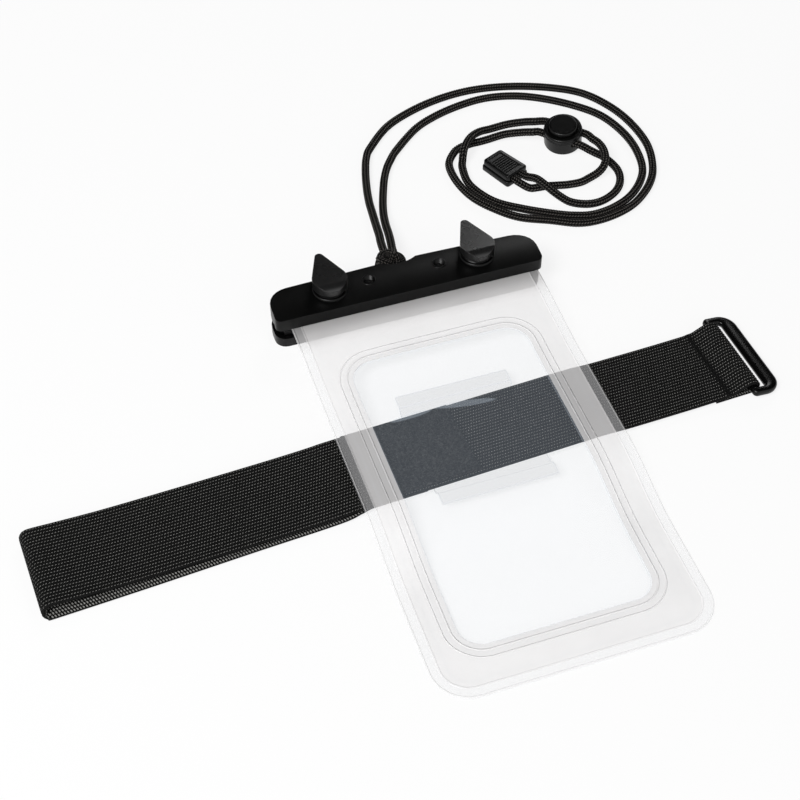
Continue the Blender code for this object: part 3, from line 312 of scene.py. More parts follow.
def braided_tube(name, points, material, diameter=CORD_DIAMETER):
    spacing = (points[1] - points[0]).length
    curve = bpy.data.curves.new(name + "_line", 'CURVE')
    curve.dimensions = '3D'
    curve.bevel_depth = diameter / 2
    curve.bevel_resolution = (BRAID_SIDES - 4) // 2
    spline = curve.splines.new('POLY')
    spline.points.add(len(points) - 1)
    for spot, point in zip(spline.points, points):
        spot.co = (*point, 1)
    line = bpy.data.objects.new(name + "_line", curve)
    bpy.context.scene.collection.objects.link(line)
    bpy.context.view_layer.update()
    mesh = bpy.data.meshes.new_from_object(line.evaluated_get(bpy.context.evaluated_depsgraph_get()))
    bpy.data.objects.remove(line, do_unlink=True)
    bm = bmesh.new()
    bm.from_mesh(mesh)
    bm.verts.ensure_lookup_table()
    uv = bm.loops.layers.uv.new("braid")
    sides = len(bm.verts) // len(points)
    for index, vert in enumerate(bm.verts):
        ring, side = divmod(index, sides)
        arm = vert.co - points[ring]
        depth = BRAID_RELIEF * (1 - braid_relief(side / sides, ring * spacing))
        vert.co = points[ring] + arm * (1 - depth / (diameter / 2))
    for face in bm.faces:
        turns = [loop.vert.index % sides for loop in face.loops]
        wraps = max(turns) - min(turns) > sides // 2
        for loop, turn in zip(face.loops, turns):
            around = turn + (sides if wraps and turn < sides // 2 else 0)
            loop[uv].uv = (around / sides, loop.vert.index // sides * spacing)
    bmesh.ops.holes_fill(bm, edges=[edge for edge in bm.edges if edge.is_boundary], sides=0)
    bpy.data.meshes.remove(mesh)
    return new_object(name, bm, material)


# %% [markdown]
# The cord's material. The yarn of the braid is black and slightly shiny, like polyester. Fine lines along each
# strand's lean, drawn from the tube's own UV map, stand for its filaments. The grooves between strands keep the
# yarn's near black. The crown of each strand, where it passes over the others, is painted lighter as a small light
# dot, which is a painted highlight.

# %% Cord yarn
YARN_FILAMENTS = 5
YARN_TINT = (1.0, 0.93, 0.86)
YARN_PAINTED_TONES = (0.0003, 0.13)
cord_yarn, yarn_tree, yarn_shader = new_material("cord_yarn", Specular_IOR_Level=0.10, Roughness=0.55)
yarn_uv = add(yarn_tree, 'ShaderNodeUVMap', uv_map="braid").outputs[0]
yarn_parts = add(yarn_tree, 'ShaderNodeSeparateXYZ', {0: yarn_uv}).outputs
yarn_column = calc(yarn_tree, 'MULTIPLY', yarn_parts["X"], float(BRAID_COLUMNS))
yarn_side = calc(yarn_tree, 'FLOORED_MODULO', calc(yarn_tree, 'FLOOR', yarn_column), 2.0)
yarn_sign = calc(yarn_tree, 'MULTIPLY_ADD', yarn_side, -2.0, 1.0)
yarn_lean = calc(yarn_tree, 'MULTIPLY', calc(yarn_tree, 'DIVIDE', yarn_parts["Y"], BRAID_ROW), yarn_sign)
yarn_strand = calc(yarn_tree, 'ADD', yarn_column, yarn_lean)
yarn_share = calc(yarn_tree, 'FLOORED_MODULO', yarn_strand, 1.0)
yarn_crown = wave(yarn_tree, yarn_share)
yarn_filament = wave(yarn_tree, yarn_strand, math.tau * YARN_FILAMENTS)
yarn_height = calc(yarn_tree, 'MULTIPLY_ADD', yarn_filament, 0.25, yarn_crown)
yarn_swing = calc(yarn_tree, 'ABSOLUTE', wave(yarn_tree, yarn_column))
yarn_painted_dot = calc(yarn_tree, 'MULTIPLY', yarn_crown, yarn_swing)
# Painted highlight: the strand crowns are made lighter in the base colour, from the yarn's black up to a light tone.
yarn_painted_highlight = map_range(yarn_tree, yarn_painted_dot, *YARN_PAINTED_TONES, 0.50, 0.95)
wire(yarn_tree, yarn_shader, {"Base Color": scaled(yarn_tree, YARN_TINT, yarn_painted_highlight),
                              "Normal": bump(yarn_tree, yarn_height, 0.22 * MM)})
print("yarn nodes", len(yarn_tree.nodes))

# %% [markdown]
# The two strands. They leave the knot side by side, lie in two loose loops on the table, pass through the cord
# lock, cross, and end in the clip. Each is one length of cord. Where one crosses the other it rises in a long low
# hump.

# %% Cord routes
OUTER_STRAND = [
    (-1.3, 21.9, 7.5), (-0.5, 28.2, 6.8), (0.7, 34.1, 5.5), (2.0, 42.4, 3.6), (3.3, 51.2, 2.3), (4.4, 59.2),
    (6.3, 68.4), (9.0, 78.3), (12.1, 86.9), (16.0, 93.1), (28.2, 105.1), (44.1, 112.8), (60.4, 116.8),
    (75.9, 117.2), (92.2, 113.9), (108.3, 107.3), (120.4, 98.8), (128.4, 86.0), (132.6, 71.7), (133.3, 55.7),
    (129.3, 41.0), (123.0, 31.0), (113.5, 22.7), (104.0, 18.5), (93.3, 16.8), (84.0, 18.0), (73.8, 23.3),
    (61.9, 29.4), (53.6, 37.9), (47.4, 47.8), (44.6, 59.5), (45.1, 70.7), (49.5, 77.6), (53.9, 80.5),
    (59.1, 81.5), (62.8, 81.6), (67.4, 81.9), (75.1, 81.2, 3.2), (82.1, 78.1, 4.9), (86.0, 75.7, 5.9),
    (88.9, 74.9, 5.9), (92.5, 71.1, 5.9), (96.0, 67.5, 5.9), (99.5, 63.9, 5.9), (102.9, 60.3, 5.9),
    (106.4, 57.4, 4.4), (108.7, 56.3, 3.1), (111.0, 55.0, 2.0), (112.6, 51.3), (113.5, 47.6), (113.8, 43.8),
    (112.9, 39.2), (110.5, 34.7), (106.9, 31.1), (102.3, 28.6), (97.8, 27.4), (93.3, 27.6), (89.0, 29.3),
    (85.7, 31.6, 2.0), (83.2, 34.2, 2.9), (80.5, 36.8, 4.7), (78.9, 39.0, 5.7), (77.5, 41.8, 6.2),
    (76.3, 45.0, 6.1), (75.2, 47.6, 5.2), (73.6, 51.0, 3.6), (71.1, 56.9, 2.7),
]
INNER_STRAND = [
    (2.2, 21.3, 7.6), (3.6, 28.0, 6.8), (4.7, 33.9, 5.5), (5.8, 40.7, 3.9), (7.4, 48.4, 2.5), (9.5, 55.8),
    (12.2, 63.5), (15.2, 71.1), (18.5, 77.6), (22.2, 82.9), (26.6, 88.0), (39.4, 99.3), (51.6, 105.3),
    (64.8, 108.8), (77.1, 109.8), (89.5, 107.3), (100.9, 101.6), (112.6, 92.4), (121.5, 82.0), (126.0, 69.9),
    (127.4, 57.2), (125.4, 43.8), (120.7, 34.8), (112.5, 26.9), (102.7, 22.3), (92.4, 20.8), (83.8, 23.0),
    (75.4, 27.3), (65.4, 33.7), (56.7, 40.6), (51.8, 48.1), (49.0, 57.3), (50.0, 67.0), (51.7, 71.6, 2.6),
    (52.3, 72.7, 4.4), (53.4, 74.5, 5.8), (55.5, 77.5, 6.1), (57.9, 80.0, 6.3), (61.0, 82.4, 5.9),
    (65.3, 85.3, 4.4), (70.4, 86.8, 3.2), (77.8, 86.0, 4.4), (84.4, 83.2, 6.2), (88.9, 80.9, 7.1),
    (93.7, 79.5, 7.1), (97.3, 75.8, 7.1), (100.8, 72.2, 7.1), (104.3, 68.6, 7.1), (107.7, 65.0, 7.1),
    (108.8, 61.3, 7.2), (110.2, 58.4, 7.0), (110.9, 54.8, 6.6), (110.4, 50.6, 6.2), (108.9, 46.9, 5.8),
    (106.9, 44.8, 4.6), (104.1, 43.8, 3.0), (99.8, 42.9, 2.0), (95.4, 41.8), (89.7, 42.1), (84.3, 43.3),
    (80.0, 44.3), (76.4, 44.6), (73.1, 45.4), (70.1, 48.4, 2.7), (67.1, 55.0, 2.7),
]
RING_SPACING = BRAID_ROW / 4


# %% Lay the two strands
def lay_cord(name, node, route):
    points, length = smooth_route(route, RING_SPACING)
    strand = braided_tube(name, points, cord_yarn)
    enlist(strand, "pouch", node)
    print(name, "length", round(length, 3), "points", len(strand.data.vertices))
    return strand, points, length


outer, outer_points, outer_length = lay_cord("outer_strand_braid", "lanyard_outer_strand", OUTER_STRAND)
inner, inner_points, inner_length = lay_cord("inner_strand_braid", "lanyard_inner_strand", INNER_STRAND)

# %% [markdown]
# The knot behind the clamp. The doubled cord is tied into a round stopper knot, in which the cord passes over
# and under itself around a ball. Its line is a wave that runs twice round the ball while it swings five times
# from side to side, and each crossing lifts one pass a little over the other. A small core closes the gaps.

# %% Stopper knot
KNOT_CENTRE = Vector((-0.8, 15.6, 7.0)) * MM
KNOT_CORE = (5.0, 4.3, 4.4)
KNOT_SWING = math.radians(52)
KNOT_LIFT = 0.10
KNOT_POINTS = 400
KNOT_ROUNDS = 2
KNOT_WAVES = 5
KNOT_CORD = 2.8 * MM
KNOT_FILL = 1.08
KNOT_COLUMNS = 3

knot_line = []
for step in range(KNOT_POINTS + 1):
    turn = math.tau * step / KNOT_POINTS
    latitude = KNOT_SWING * math.sin(KNOT_WAVES * turn)
    longitude = KNOT_ROUNDS * turn
    reach = 1 + KNOT_LIFT * math.cos(2 * KNOT_WAVES * turn + 0.6)
    swung = (math.cos(latitude) * math.cos(longitude), math.sin(latitude), math.cos(latitude) * math.sin(longitude))
    knot_line.append(KNOT_CENTRE + Vector([size * MM * reach * part for size, part in zip(KNOT_CORE, swung)]))
knot = braided_tube("stopper_knot_braid", knot_line, cord_yarn, KNOT_CORD)
core_mesh = bmesh.new()
bmesh.ops.create_icosphere(core_mesh, subdivisions=3, radius=KNOT_FILL * MM,
                           matrix=Matrix.Translation(KNOT_CENTRE) @ Matrix.Diagonal((*KNOT_CORE, 1.0)))
core_uv = core_mesh.loops.layers.uv.new("braid")
for face in core_mesh.faces:
    arms = [loop.vert.co - KNOT_CENTRE for loop in face.loops]
    turns = [math.atan2(arm.y, arm.x) / math.tau for arm in arms]
    for loop, turn in zip(face.loops, turns):
        around = turn + (1 if max(turns) - turn > 0.5 else 0)
        loop[core_uv].uv = (around * KNOT_COLUMNS, loop.vert.co.z)
knot_core = new_object("knot_core", core_mesh, cord_yarn)
for piece in (knot, knot_core):
    enlist(piece, "pouch", "lanyard_knot")
print("knot points", len(knot.data.vertices))

# %% [markdown]
# The short loop of cord round the clamp's post, which comes out of the clamp and goes into the knot.

# %% Loop in the clamp
POST_Y = 1.4
LOOP_RADIUS = 3.9
LOOP_HEIGHT = 6.5
LOOP_LEFT_Y = 10.4
LOOP_RIGHT_Y = 10.9
loop_route = [(-LOOP_RADIUS, LOOP_LEFT_Y, LOOP_HEIGHT), (-LOOP_RADIUS, (LOOP_LEFT_Y + POST_Y) / 2, LOOP_HEIGHT)]
for step in range(9):
    angle = math.pi * (1 + step / 8)
    loop_route.append((LOOP_RADIUS * math.cos(angle), POST_Y + LOOP_RADIUS * math.sin(angle), LOOP_HEIGHT))
loop_route += [(LOOP_RADIUS, (LOOP_RIGHT_Y + POST_Y) / 2, LOOP_HEIGHT), (LOOP_RADIUS, LOOP_RIGHT_Y, LOOP_HEIGHT)]
post_loop, loop_points, loop_length = lay_cord("post_loop_braid", "lanyard_loop", loop_route)

# %% [markdown]
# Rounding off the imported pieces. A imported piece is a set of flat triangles. A copy with its points merged can be
# shaded smooth across shallow angles while its real edges stay crisp, which is how a moulding looks. Weighted
# normals let the large faces win, so a flat face stays flat up to its rounded edge.


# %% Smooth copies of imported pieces
def smooth_copy(node, name, body, material, angle=40):
    bm = bmesh.new()
    bm.from_mesh(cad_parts[node].data)
    bmesh.ops.remove_doubles(bm, verts=bm.verts, dist=0.005 * MM)
    bmesh.ops.dissolve_limit(bm, angle_limit=math.radians(0.5), verts=bm.verts, edges=bm.edges)
    copy = new_object(name, bm, material, angle)
    weighted = copy.modifiers.new("weighted_normals", 'WEIGHTED_NORMAL')
    weighted.keep_sharp = True
    return enlist(copy, body, node)


# %% Hard pieces
clamp_cover = smooth_copy("front_bar", "front_bar_cover", "front_bar", clamp_plastic)
smooth_copy("rear_bar", "rear_bar_tray", "pouch", clamp_plastic)
for knob in ("left_knob", "right_knob"):
    smooth_copy(knob, knob + "_lever", knob, knob_plastic, 30)
lock_shell = smooth_copy("cord_lock_body", "cord_lock_shell", "pouch", lock_plastic, 50)
lock_button = smooth_copy("cord_lock_button", "cord_lock_plunger", "lock_button", lock_plastic, 50)
for node in ("left_guide_screw", "right_guide_screw", "left_cross_pin", "right_cross_pin", "cord_lock_spring"):
    paint(node, dark_steel)
paint("seal_strip", seal_rubber)
print("cover points", len(clamp_cover.data.vertices))

# %% [markdown]
# The buckle is one moulded loop with a rounded section all the way round. Two rounded rectangles, its outside and
# its opening, are sampled at matching places, and an oval is drawn between each pair.

# %% Buckle
STRAP_PLACE = Matrix.Translation((0, -79.8 * MM, 0)) @ Matrix.Rotation(math.radians(2.9), 4, 'Z')
BUCKLE_BAR = Vector((109.8, 0, 3.09))
BUCKLE_PLACE = STRAP_PLACE @ Matrix.Translation(BUCKLE_BAR * MM) @ Matrix.Rotation(math.radians(7.66), 4, 'Y')
BUCKLE_OUTSIDE = {"low": -1.5, "high": 11.2, "half_length": 21.4, "low_radius": 1.65, "high_radius": 6.6}
BUCKLE_OPENING = {"low": 1.5, "high": 5.2, "half_length": 18.1, "low_radius": 0.6, "high_radius": 1.5}
BUCKLE_HALF_HEIGHT = 1.5 * MM
OVAL_SQUARENESS = 0.72
CORNER_STEPS = 9
SIDE_STEPS = 12
SECTION_SIDES = 20


def rounded_loop(low, high, half_length, low_radius, high_radius):
    """Points round a rectangle from low to high in x, with one corner radius at each end, all in millimetres."""
    spots = []
    corners = [(high, 1, high_radius, 0), (low, 1, low_radius, 90), (low, -1, low_radius, 180),
               (high, -1, high_radius, 270)]
    for x, side, radius, start in corners:
        inward = radius if x == low else -radius
        for step in range(CORNER_STEPS + 1):
            angle = math.radians(start + 90 * step / CORNER_STEPS)
            spots.append(Vector((x + inward + radius * math.cos(angle),
                                 side * (half_length - radius) + radius * math.sin(angle), 0)) * MM)
    line = []
    for index, spot in enumerate(spots):
        ahead = spots[(index + 1) % len(spots)]
        line.append(spot)
        if index % (CORNER_STEPS + 1) == CORNER_STEPS:
            line.extend(spot.lerp(ahead, step / SIDE_STEPS) for step in range(1, SIDE_STEPS))
    return line


buckle_mesh = bmesh.new()
buckle_rings = []
for outside, opening in zip(rounded_loop(**BUCKLE_OUTSIDE), rounded_loop(**BUCKLE_OPENING)):
    ring = []
    for side in range(SECTION_SIDES):
        angle = math.tau * side / SECTION_SIDES
        swing, rise = (math.copysign(abs(part) ** OVAL_SQUARENESS, part) for part in (math.cos(angle), math.sin(angle)))
        spot = (outside + opening) / 2 + (outside - opening) / 2 * swing
        ring.append(buckle_mesh.verts.new(spot + Vector((0, 0, BUCKLE_HALF_HEIGHT * rise))))
    buckle_rings.append(ring)
for ring, ahead in zip(buckle_rings, buckle_rings[1:] + buckle_rings[:1]):
    for side in range(SECTION_SIDES):
        beside = (side + 1) % SECTION_SIDES
        buckle_mesh.faces.new((ring[side], ahead[side], ahead[beside], ring[beside]))
bmesh.ops.transform(buckle_mesh, matrix=BUCKLE_PLACE, verts=buckle_mesh.verts)
bmesh.ops.recalc_face_normals(buckle_mesh, faces=buckle_mesh.faces)
enlist(new_object("buckle_frame", buckle_mesh, buckle_plastic), "buckle", "buckle")
print("buckle rings", len(buckle_rings))

# %% [markdown]
# The cover's top is one long shallow crown. The screw holes and seats cut it into strips, and a strip's own
# normals would show as streaks, so every corner that lies on the crown gets the crown's true normal.

# %% Crown normals
CROWN_RADIUS = 45 * MM
SEAT_HEIGHT = 1.0 * MM
FRONT_BAR_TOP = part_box("front_bar")[1].z - SEAT_HEIGHT
crown_middle = FRONT_BAR_TOP - CROWN_RADIUS
cover_data = clamp_cover.data
corner_normals = [tuple(corner.vector) for corner in cover_data.corner_normals]
for face in cover_data.polygons:
    for corner in face.loop_indices:
        spot = cover_data.vertices[cover_data.loops[corner].vertex_index].co
        crown = Vector((0, spot.y, spot.z - crown_middle))
        if abs(crown.length - CROWN_RADIUS) < 0.03 * MM and face.normal.dot(crown.normalized()) > 0.995:
            corner_normals[corner] = tuple(crown.normalized())
cover_data.normals_split_custom_set(corner_normals)
clamp_cover.modifiers.clear()
print("crown corners", len(corner_normals))

# %% [markdown]
# Small turned details on the clamp. Under each knob stands a low ring, and each screw sits in a recess with a fine
# raised rim. A ring is a short profile of a few points that is spun once round its axis.


# %% Turned rings
def turned_ring(name, place, profile, body, material):
    """A profile of (radius, height) pairs in millimetres, spun round an upright axis at place."""
    bm = bmesh.new()
    spots = [bm.verts.new((place[0] + radius * MM, place[1], place[2] + height * MM)) for radius, height in profile]
    lines = [bm.edges.new(pair) for pair in zip(spots, spots[1:])]
    bmesh.ops.spin(bm, geom=spots + lines, cent=place, axis=(0, 0, 1), angle=math.tau, steps=64, use_merge=True)
    bmesh.ops.remove_doubles(bm, verts=bm.verts, dist=0.001 * MM)
    bmesh.ops.recalc_face_normals(bm, faces=bm.faces)
    return enlist(new_object(name, bm, material), body)


KNOB_X = 31 * MM
SCREW_X = 14.8 * MM
SEAT_PROFILE = [(7.1, -0.35), (7.0, 0.10), (6.8, 0.38), (6.5, 0.50), (5.9, 0.55), (5.7, 0.2)]
RIM_PROFILE = [(3.0, -0.10), (2.85, 0.06), (2.6, 0.14), (2.38, 0.08), (2.3, -0.2), (2.3, -0.6)]
for side, side_name in ((-1, "left"), (1, "right")):
    for part, x, profile in (("_knob_seat_ring", KNOB_X, SEAT_PROFILE), ("_screw_rim", SCREW_X, RIM_PROFILE)):
        turned_ring(side_name + part, (side * x, 0, FRONT_BAR_TOP), profile, "front_bar", clamp_plastic)

# %% [markdown]
# The cord lock's body has two fine collar rings below its rim. They are spun like the other rings and then placed
# with the lock's own tilt and turn.

# %% Lock collar
LOCK_TURN = Matrix.Rotation(math.radians(-46), 4, 'Z') @ Matrix.Rotation(math.radians(10), 4, 'X')
LOCK_PLACE = Matrix.Translation(Vector((99.0, 70.5, 1.4)) * MM) @ LOCK_TURN
LOCK_RADIUS = 8.4
COLLARS = ((7.3, 0.22), (6.5, 0.14))
for number, (height, bulge) in enumerate(COLLARS):
    crest = LOCK_RADIUS + bulge
    foot = LOCK_RADIUS - 0.1
    profile = [(foot, height - 0.30), (crest, height - 0.12), (crest, height + 0.12), (foot, height + 0.30)]
    ring = turned_ring(f"lock_collar_{number}", (0, 0, 0), profile, "pouch", lock_plastic)
    ring.data.transform(LOCK_PLACE)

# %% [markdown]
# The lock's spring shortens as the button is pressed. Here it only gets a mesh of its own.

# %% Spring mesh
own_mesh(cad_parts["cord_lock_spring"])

# %% [markdown]
# The end clip. Two tapered shells grip the cord ends. The lower one is a plain tray that stands out a little as a
# ledge, and the upper one has a raised rim round a field of grip ribs. Both start as a cube whose far end is
# narrowed and whose edges are bevelled.

# %% End clip
CLIP_TURN = Matrix.Rotation(math.atan2(0.911, -0.413), 4, 'Z')
CLIP_PLACE = Matrix.Translation(Vector((67.1, 60.5, 0)) * MM) @ CLIP_TURN
CLIP_HALF_LENGTH = 8.35
CLIP_HALF_WIDTHS = (6.4, 5.8)
CLIP_CORNER = 1.3 * MM
CLIP_RIM = 0.9 * MM
CLIP_RIBS = 8
RIB_SPACING = 1.25
RIB_HALF_SIZE = (0.30, 3.7, 0.30)
RIB_MIDDLE = 5.15


def clip_shell(name, node, low, high, inset, rounding, recess):
    bm = bmesh.new()
    bmesh.ops.create_cube(bm, size=2.0)
    for vert in bm.verts:
        half_width = CLIP_HALF_WIDTHS[vert.co.x > 0] - inset
        height = low if vert.co.z < 0 else high
        vert.co = Vector((vert.co.x * (CLIP_HALF_LENGTH - inset), vert.co.y * half_width, height)) * MM
    uprights = [edge for edge in bm.edges if abs(edge.verts[0].co.z - edge.verts[1].co.z) > MM]
    bmesh.ops.bevel(bm, geom=uprights, offset=CLIP_CORNER, segments=5, profile=0.5, affect='EDGES', material=-1)
    rims = [edge for edge in bm.edges if abs(edge.verts[0].co.z - edge.verts[1].co.z) < 0.01 * MM]
    bmesh.ops.bevel(bm, geom=rims, offset=rounding * MM, segments=3, profile=0.5, affect='EDGES', material=-1)
    if recess:
        lid = max(bm.faces, key=lambda face: face.calc_center_median().z)
        bmesh.ops.inset_region(bm, faces=[lid], thickness=CLIP_RIM)
        bmesh.ops.inset_region(bm, faces=[lid], thickness=0.25 * MM, depth=-recess * MM)
    bmesh.ops.transform(bm, matrix=CLIP_PLACE, verts=bm.verts)
    bmesh.ops.recalc_face_normals(bm, faces=bm.faces)
    return enlist(new_object(name, bm, lock_plastic, 40), "pouch", node)


clip_base = clip_shell("clip_lower_shell", "cord_clip_base", 0.0, 2.6, 0.0, 0.5, 0)
clip_cover = clip_shell("clip_upper_shell", "cord_clip_cover", 2.7, 5.5, 0.35, 0.7, 0.45)
ribs_mesh = bmesh.new()
for number in range(CLIP_RIBS):
    rib_spot = Vector((-4.6 + RIB_SPACING * number, 0, RIB_MIDDLE))
    rib_place = Matrix.Translation(rib_spot * MM) @ Matrix.Diagonal((*(size * MM for size in RIB_HALF_SIZE), 1.0))
    bmesh.ops.create_cone(ribs_mesh, segments=10, cap_ends=True, radius1=1.0, radius2=1.0, depth=2.0,
                          matrix=rib_place @ Matrix.Rotation(math.pi / 2, 4, 'X'))
bmesh.ops.transform(ribs_mesh, matrix=CLIP_PLACE, verts=ribs_mesh.verts)
clip_ribs = enlist(new_object("clip_grip_ribs", ribs_mesh, lock_plastic, 50), "pouch")
print("clip ribs", CLIP_RIBS)

# %% [markdown]
# The armband is flat elastic. Rubber threads run along it, and the yarn over them makes about two dozen narrow
# ribs, each with a row of small slanted stitches. The band is a grid of points laid along the armband's own path:
# across it the ribs rise and fall, and along it the path bends round the buckle's bar and folds back at the far
# end. A seam is pulled in where the buckle's loop is sewn down.

# %% Armband path
STRAP_WIDTH = 35 * MM
STRAP_THICKNESS = 1.0 * MM
STRAP_RIBS = 25
STRAP_STEP = 1.0 * MM
SEAM_PLACE = Vector((99.5, 0, 2.15)) * MM
STRAP_ROUTE = [
    (94.3, 0.6, 0), (99.5, 0.6, 0), (104.5, 0.6, 0), (109.8, 0.6, 0), (111.56, 1.33, 0), (112.29, 3.09, 0),
    (111.56, 4.85, 0), (109.3, 5.58, 0), (106.8, 5.1, 0), (104.3, 3.9, 0), (101.9, 2.7, 0), (99.5, 2.15, 0),
    (94.0, 2.1, 0), (82.0, 2.1, 0), (58.0, 2.5, 0), (46.0, 3.2, 0), (26.6, 3.2, 0), (-26.6, 3.2, 0),
    (-52.0, 3.2, 0), (-60.0, 2.8, 0), (-76.0, 2.5, 0), (-107.0, 2.6, 0), (-137.0, 3.0, 0), (-154.4, 3.9, 0),
    (-163.6, 4.55, 0), (-166.4, 4.6, -0.2), (-167.8, 4.0, -0.8), (-168.4, 2.6, -1.5), (-167.8, 1.2, -2.2),
    (-166.4, 0.6, -2.8), (-163.6, 0.6, -3.0), (-130.0, 0.6, -2.5), (-92.0, 0.6, -1.6), (-60.0, 0.6, -1.0),
    (-51.0, 1.7, -0.4), (-45.0, 1.7, 0.6), (-24.0, 1.7, 0.9),
]
strap_line, strap_length = smooth_route([(along, sideways, height) for along, height, sideways in STRAP_ROUTE],
                                        STRAP_STEP)
seam_index = min(range(len(strap_line)), key=lambda index: (strap_line[index] - SEAM_PLACE).length)
print("armband length", round(strap_length, 3))

# %% [markdown]
# The elastic's material. Each rib carries a row of slanted stitches, and neighbouring rows are shifted by half a
# stitch. The crown of each stitch is painted lighter than the black elastic. This painted highlight makes small light
# dashes all along the band. Along the seam the colour is darker.

# %% Elastic weave
STITCH_LENGTH = 1.1 * MM
STITCH_SLANT = 0.6
STITCH_PAINTED_TONES = (0.0012, 0.30)
THREAD_TINT = (1.0, 0.99, 0.94)
elastic, elastic_tree, elastic_shader = new_material("elastic_weave", Roughness=0.75, Specular_IOR_Level=0.16)
elastic_uv = add(elastic_tree, 'ShaderNodeUVMap', uv_map="weave").outputs[0]
elastic_parts = add(elastic_tree, 'ShaderNodeSeparateXYZ', {0: elastic_uv}).outputs
elastic_row = calc(elastic_tree, 'DIVIDE', elastic_parts["Y"], STRAP_WIDTH / STRAP_RIBS)
elastic_share = calc(elastic_tree, 'FLOORED_MODULO', elastic_row, 1.0)
elastic_rib = wave(elastic_tree, elastic_share)
elastic_half = calc(elastic_tree, 'MULTIPLY', calc(elastic_tree, 'FLOOR', elastic_row), 0.5)
elastic_travel = calc(elastic_tree, 'DIVIDE', elastic_parts["X"], STITCH_LENGTH)
elastic_slant = calc(elastic_tree, 'MULTIPLY_ADD', elastic_share, STITCH_SLANT, elastic_travel)
elastic_shifted = calc(elastic_tree, 'ADD', elastic_slant, elastic_half)
elastic_phase = calc(elastic_tree, 'FLOORED_MODULO', elastic_shifted, 1.0)
elastic_height = calc(elastic_tree, 'MULTIPLY', elastic_rib, wave(elastic_tree, elastic_phase))
seam_travel = calc(elastic_tree, 'SUBTRACT', elastic_parts["X"], seam_index * STRAP_STEP)
elastic_seam = map_range(elastic_tree, calc(elastic_tree, 'ABSOLUTE', seam_travel), 0.05, 1.0, 0.4 * MM, 1.6 * MM)
# Painted highlight on the stitch crowns, with the colour darker along the seam.
elastic_painted_highlight = calc(elastic_tree, 'MULTIPLY', map_range(elastic_tree, elastic_height, *STITCH_PAINTED_TONES, 0.55, 1.0),
                    elastic_seam)
wire(elastic_tree, elastic_shader, {"Base Color": scaled(elastic_tree, THREAD_TINT, elastic_painted_highlight),
                                    "Normal": bump(elastic_tree, elastic_height, 0.30 * MM)})
print("elastic nodes", len(elastic_tree.nodes))

# %% Armband mesh
RIB_CELLS = 6
RIB_HEIGHT = 0.30 * MM
SEAM_DEPTH = 0.55 * MM
SEAM_STEPS = 1.1
strap_mesh = bmesh.new()
bmesh.ops.create_grid(strap_mesh, x_segments=len(strap_line) - 1, y_segments=STRAP_RIBS * RIB_CELLS, size=0.5)
strap_uv = strap_mesh.loops.layers.uv.new("weave")
for face in strap_mesh.faces:
    for loop in face.loops:
        loop[strap_uv].uv = ((loop.vert.co.x + 0.5) * strap_length, (loop.vert.co.y + 0.5) * STRAP_WIDTH)
for vert in strap_mesh.verts:
    index = round((vert.co.x + 0.5) * (len(strap_line) - 1))
    across = vert.co.y
    before = strap_line[max(index - 1, 0)]
    after = strap_line[min(index + 1, len(strap_line) - 1)]
    ahead = (after - before).normalized()
    normal = Vector((-ahead.z, 0, ahead.x)).normalized()
    rib = abs(math.sin(math.pi * (across + 0.5) * STRAP_RIBS))
    stitched = math.exp(-((index - seam_index) / SEAM_STEPS) ** 2) * (0.75 + 0.25 * math.sin(across * 60))
    rise = RIB_HEIGHT * (rib - 0.5) - SEAM_DEPTH * stitched
    vert.co = strap_line[index] + Vector((0, across * STRAP_WIDTH, 0)) + normal * rise
bmesh.ops.transform(strap_mesh, matrix=STRAP_PLACE, verts=strap_mesh.verts)
armband = new_object("armband_webbing", strap_mesh, elastic)
strap_solid = armband.modifiers.new("thickness", 'SOLIDIFY')
strap_solid.thickness = STRAP_THICKNESS
strap_solid.offset = 0.0
enlist(armband, "pouch", "elastic_strap")
print("armband points", len(armband.data.vertices))

# %% [markdown]
# The loop side of the tape, under the window, is a mat of fine crimped loops, which looks like dark felt. Fine
# distorted noise gives the felt.

# %% Loop tape
pile, pile_tree, pile_shader = new_material("loop_pile", Roughness=0.95, Specular_IOR_Level=0.1)
pile_noise = noise_of(pile_tree, 1300.0, 5.0, Distortion=1.2)
wire(pile_tree, pile_shader, {"Base Color": map_range(pile_tree, pile_noise, 0.001, 0.045, 0.42, 0.66),
                              "Normal": bump(pile_tree, pile_noise, 0.5 * MM)})
paint("loop_patch", pile)
print("pile nodes", len(pile_tree.nodes))

# %% [markdown]
# The hook side of the tape faces the table under the free end. Its tiny hooks stand in straight rows, so its
# material is a fine grid of dark dots, from two crossed waves.

# %% Hook tape
HOOK_PITCH = 1.2 * MM
HOOK_SHIFT = 1.8 * MM
hooks, hook_tree, hook_shader = new_material("hook_rows", Roughness=0.5, Specular_IOR_Level=0.3)
hook_parts = add(hook_tree, 'ShaderNodeSeparateXYZ', {0: object_place(hook_tree)}).outputs
hook_dots = calc(hook_tree, 'MULTIPLY', *(wave(hook_tree, hook_parts[axis], math.tau / HOOK_PITCH)
                                          for axis in ("X", "Y")))
wire(hook_tree, hook_shader, {"Base Color": map_range(hook_tree, hook_dots, 0.004, 0.03, -0.2, 0.8),
                              "Normal": bump(hook_tree, hook_dots, 0.3 * MM)})
hook_tape = smooth_copy("hook_patch", "hook_tape", "pouch", hooks)
hook_tape.data.transform(Matrix.Translation((0, HOOK_SHIFT, 0)))
print("hook tape points", len(hook_tape.data.vertices))

# %% [markdown]
# The films. The pouch's back is a clear sheet, and its front is a frosted frame with a clear window welded
# behind its opening. Clear film is nearly invisible over white and turns black elastic into a dark blue grey.
# Frosted film scatters light, so what lies under it turns pale and soft. The welding tool leaves fine raised
# outlines beside the window, and these follow a rounded rectangle, so a shader group measures how far a point
# lies outside one.

